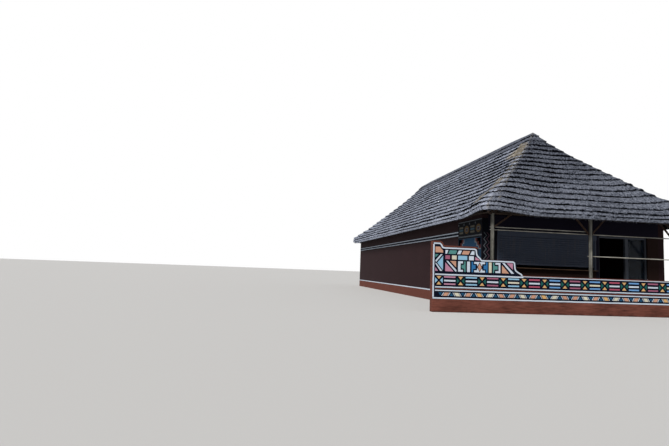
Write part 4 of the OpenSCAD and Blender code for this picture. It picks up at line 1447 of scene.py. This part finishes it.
class HUT_OT_poles(HutOperator):
    """Peeled poles of the stoep, with the wander and checks of real ones."""

    bl_idname = "hut.poles"
    bl_label = "Poles"

    def make(self, s):
        c = s.colours
        upright = timber("Peeled pole, upright", tone(c.peeled, 0.62), c.peeled)
        # The rails are a lighter copy of the peeled poles: painted light
        level = timber("Peeled pole, level", c.peeled, tone(c.peeled, 1.3), turn=LEVEL)
        # The braces take the brown roof-pole colour, darkened as painted shade under the eave
        brown = timber("Bark pole", tone(c.pole, 0.8), tone(c.pole, 1.5))
        # The plate pole is dark as painted shade under the eave
        shaded = timber("Plate pole", tone(c.pole, 0.5), c.pole, turn=LEVEL)
        for node, material in (("post_left", upright), ("post_middle", upright), ("post_right", upright),
                               ("knee_braces", brown), ("display_rails", level), ("plate_front", shaded)):
            piece = copy_of(node, "peeled_" + node)
            self.divide(piece, cell=0.07)
            roughen(piece, s.ragged.pole, size=0.45)
            roughen(piece, s.ragged.pole * 0.35, size=0.05)
            piece.data.materials.append(material)
            shade(piece, degrees=40)
            hand_over(piece, "peeled_pole" if node != "plate_front" else "roof_pole", node)

    def divide(self, piece, cell):
        """Halves every edge that is longer than a cell, until none is left."""
        with editing(piece, "EDGE", "DESELECT"):
            for _ in range(8):
                bm = bmesh.from_edit_mesh(piece.data)
                long_edges = [e for e in bm.edges if e.calc_length() > cell]
                if not long_edges:
                    break
                for e in bm.edges:
                    e.select = False
                for e in long_edges:
                    e.select = True
                bmesh.update_edit_mesh(piece.data)
                bpy.ops.mesh.subdivide(number_cuts=1)
                bpy.ops.mesh.select_all(action="DESELECT")


class HUT_OT_garden_wall(HutOperator):
    """Plastered garden wall with its stepped end and painted bands."""

    bl_idname = "hut.garden_wall"
    bl_label = "Garden wall"

    def make(self, s):
        c = s.colours
        paints = [painted("Paint, " + name, getattr(c, name)) for name in PAINTS]
        ground = paints[NAVY]
        # The plinth turns darker towards its foot
        brown = painted("Red-brown plaster", c.plinth, mottle=1.6, chips=0.2, dust=0.9, dust_height=0.235,
                        dust_colour=FOOT_DARK)
        for part, slot in (("plinth", "red_brown_plaster"), ("steps", "painted_plaster"),
                           ("low", "painted_plaster"), ("coping", "red_brown_plaster")):
            node = "garden_wall_" + part
            piece = copy_of(node, "plastered_" + part)
            with editing(piece):
                bpy.ops.mesh.bevel(offset=0.010, segments=3, affect="EDGES", clamp_overlap=True)
            self.grid(piece, cell=0.16)
            roughen(piece, s.ragged.plaster, size=0.35)
            piece.data.materials.append(brown)
            if slot == "painted_plaster":
                piece.data.materials.append(ground)
                for face in piece.data.polygons:
                    face.material_index = int(self.is_painted(face.normal))
            shade(piece, degrees=40)
            hand_over(piece, slot, node)
        end = PLINTH_HIGH.x - 0.02
        lay_paint("painted_bands", low_wall_shapes(end), on_garden_front, paints, PAINT_INSET)
        lay_paint("painted_stepped_end", stepped_end_shapes(), on_garden_front, paints, PAINT_INSET)

    def is_painted(self, normal):
        """Whether a face is on the front, or on the front's rounded upright edges."""
        return normal.y < -0.9 or (normal.y < -0.2 and abs(normal.z) < 0.2)

    def grid(self, piece, cell):
        """Cuts a wall into cells along X and Z, so that its plaster can undulate."""
        low, high = Vector(piece.bound_box[0]), Vector(piece.bound_box[6])
        with editing(piece):
            for axis in (0, 2):
                count = int((high[axis] - low[axis]) / cell)
                for k in range(1, count):
                    place, facing = Vector((0, 0, 0)), Vector((0, 0, 0))
                    place[axis] = low[axis] + (high[axis] - low[axis]) * k / count
                    facing[axis] = 1
                    bpy.ops.mesh.select_all(action="SELECT")
                    bpy.ops.mesh.bisect(plane_co=place, plane_no=facing)


class HUT_OT_house_walls(HutOperator):
    """Plaster and painted bands on the hut's own walls."""

    bl_idname = "hut.house_walls"
    bl_label = "House walls"

    def make(self, s):
        paints = [bpy.data.materials["Paint, " + name] for name in PAINTS]
        # Darker copies of the paints, as painted shade under the eave and in the stoep, with heavier mottle
        # and chips
        shaded_paints = [painted("Old paint, " + name, tone(getattr(s.colours, name), 0.45), mottle=0.6, chips=0.5)
               for name in PAINTS]
        front, back = WALL_LOW.y, WALL_HIGH.y
        bay = front + BAY_DEPTH
        foot = [(PLINTH, 0, rect(front, 0.005, bay, 0.42)), (WHITE, 1, rect(front, 0.42, bay, 0.47))]
        lay_paint("left_wall_bands", side_wall_shapes(bay, back), on_left_wall, paints)
        lay_paint("left_wall_bay", foot + painted_bay_shapes(front + 0.005, bay), on_left_wall, shaded_paints)
        lay_paint("right_wall_bands", side_wall_shapes(front, back), on_right_wall, paints)
        lay_paint("back_wall_bands", side_wall_shapes(WALL_LOW.x, WALL_HIGH.x), on_back_wall, paints)
        lay_paint("left_pier_zigzag", left_pier_shapes(), on_stoep_wall, shaded_paints)


class HUT_OT_hatch(HutOperator):
    """Bottom rail and lock lugs of the roller shutter, and the worn edge of the counter."""

    bl_idname = "hut.hatch"
    bl_label = "Hatch"

    def make(self, s):
        self.bottom_rail(s.colours)
        board = copy_of("counter_shelf", "counter_board")
        with editing(board):
            bpy.ops.mesh.bevel(offset=0.006, segments=3, affect="EDGES")
        wood = timber("Counter wood", tone(s.colours.counter, 0.6), s.colours.counter, turn=LEVEL)
        board.data.materials.append(wood)
        shade(board, degrees=35)
        hand_over(board, "dark_wood", "counter_shelf")

    def bottom_rail(self, c):
        low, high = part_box("shutter_curtain")
        rise, short, deep, tall = 0.028, 0.08, 0.036, 0.052
        middle = ((low.x + high.x) / 2, (low.y + high.y) / 2, low.z + rise)
        bpy.ops.mesh.primitive_cube_add(size=1, location=middle)
        rail = bpy.context.object
        rail.scale = (high.x - low.x - short, deep, tall)
        self.round_edges(rail, 0.006, 3)
        lugs = []
        for share in (0.22, 0.78):
            x = low.x + (high.x - low.x) * share
            bpy.ops.mesh.primitive_cylinder_add(
                vertices=20, radius=0.018, depth=0.05, location=(x, low.y - 0.004, low.z + rise),
                rotation=(math.pi / 2, 0, 0))
            lugs.append(bpy.context.object)
            self.round_edges(lugs[-1], 0.003, 2)
        piece = join([rail] + lugs, "shutter_bottom_rail")
        piece.data.materials.append(painted_metal("Shutter steel", c.shutter, 0.45))
        shade(piece, degrees=35)
        hand_over(piece, "white_metal")

    def round_edges(self, part, width, segments):
        bpy.ops.object.transform_apply(location=True, rotation=True, scale=True)
        modify(part, "BEVEL", width=width, segments=segments)


class HUT_OT_frame_finishes(HutOperator):
    """Finishes on the frame's own nodes that stay as they are."""

    bl_idname = "hut.frame_finishes"
    bl_label = "Frame finishes"

    def make(self, s):
        c = s.colours
        roof_pole = timber("Roof pole", tone(c.pole, 0.5), c.pole, turn=(math.radians(45), 0, 0))
        # The stoep's piers are the plinth's red-brown at a third of its lightness: painted shade
        pier = painted("Red-brown pier", tone(c.plinth, 0.34), mottle=0.35, chips=0.15, dust=0.3,
                       dust_height=0.5)
        dusk = painted("Dusk paint", c.dusk, mottle=0.35, chips=0.1)
        finishes = {
            "roof_pole": roof_pole,
            "peeled_pole": roof_pole,
            # Brown plaster, darkened as painted shade
            "painted_plaster": painted("Brown plaster", c.plaster, mottle=0.35, chips=0.15, dust=0.5,
                                       dust_height=0.5),
            "red_brown_plaster": pier,
            "screed": painted("Screed", c.screed, mottle=0.5, chips=0.05, dust=0.3, dust_height=0.6),
            "white_metal": bpy.data.materials["Shutter steel"],
            "grey_metal": painted_metal("Frame paint", c.frame, 0.35),
            "window_glass": window_glass(),
            "dark_wood": bpy.data.materials["Counter wood"],
        }
        by_node = {"front_wall_head": dusk, "front_wall_middle_pier": dusk, "front_wall_right_pier": pier,
                   "front_wall_under_hatch": pier}
        slots = {part["node"]: part["material_slot"] for part in frame["record"]["subparts"]}
        for name, node in NODES.items():
            if node.hide_render:
                continue
            node.data.materials.clear()
            node.data.materials.append(by_node.get(name) or finishes[slots[name]])


OPERATORS = (HUT_OT_stage, HUT_OT_shader_groups, HUT_OT_thatch, HUT_OT_ridge_cap, HUT_OT_straw, HUT_OT_poles,
             HUT_OT_garden_wall, HUT_OT_house_walls, HUT_OT_hatch, HUT_OT_frame_finishes)


class HUT_PT_panel(bpy.types.Panel):
    """The hut's operators and settings in the sidebar."""

    bl_idname = "HUT_PT_panel"
    bl_label = "Thatched hut"
    bl_space_type = "VIEW_3D"
    bl_region_type = "UI"
    bl_category = "Hut"

    def draw(self, context):
        for operator in OPERATORS:
            self.layout.operator(operator.bl_idname)
        for group_name in ("roof", "ragged", "colours", "camera"):
            box = self.layout.box()
            values = getattr(context.scene.hut, group_name)
            for name in values.bl_rna.properties.keys():
                if name not in ("rna_type", "name"):
                    box.prop(values, name)


CLASSES = (HutRoofSizes, HutRaggedness, HutColours, HutCamera, HutSettings) + OPERATORS + (HUT_PT_panel,)


def register():
    for cls in CLASSES:
        bpy.utils.register_class(cls)
    bpy.types.Scene.hut = PointerProperty(type=HutSettings)


def unregister():
    del bpy.types.Scene.hut
    for cls in reversed(CLASSES):
        bpy.utils.unregister_class(cls)


def main():
    register()
    for operator in OPERATORS:
        family, name = operator.bl_idname.split(".")
        getattr(getattr(bpy.ops, family), name)()
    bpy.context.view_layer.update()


if __name__ == "__main__":
    main()
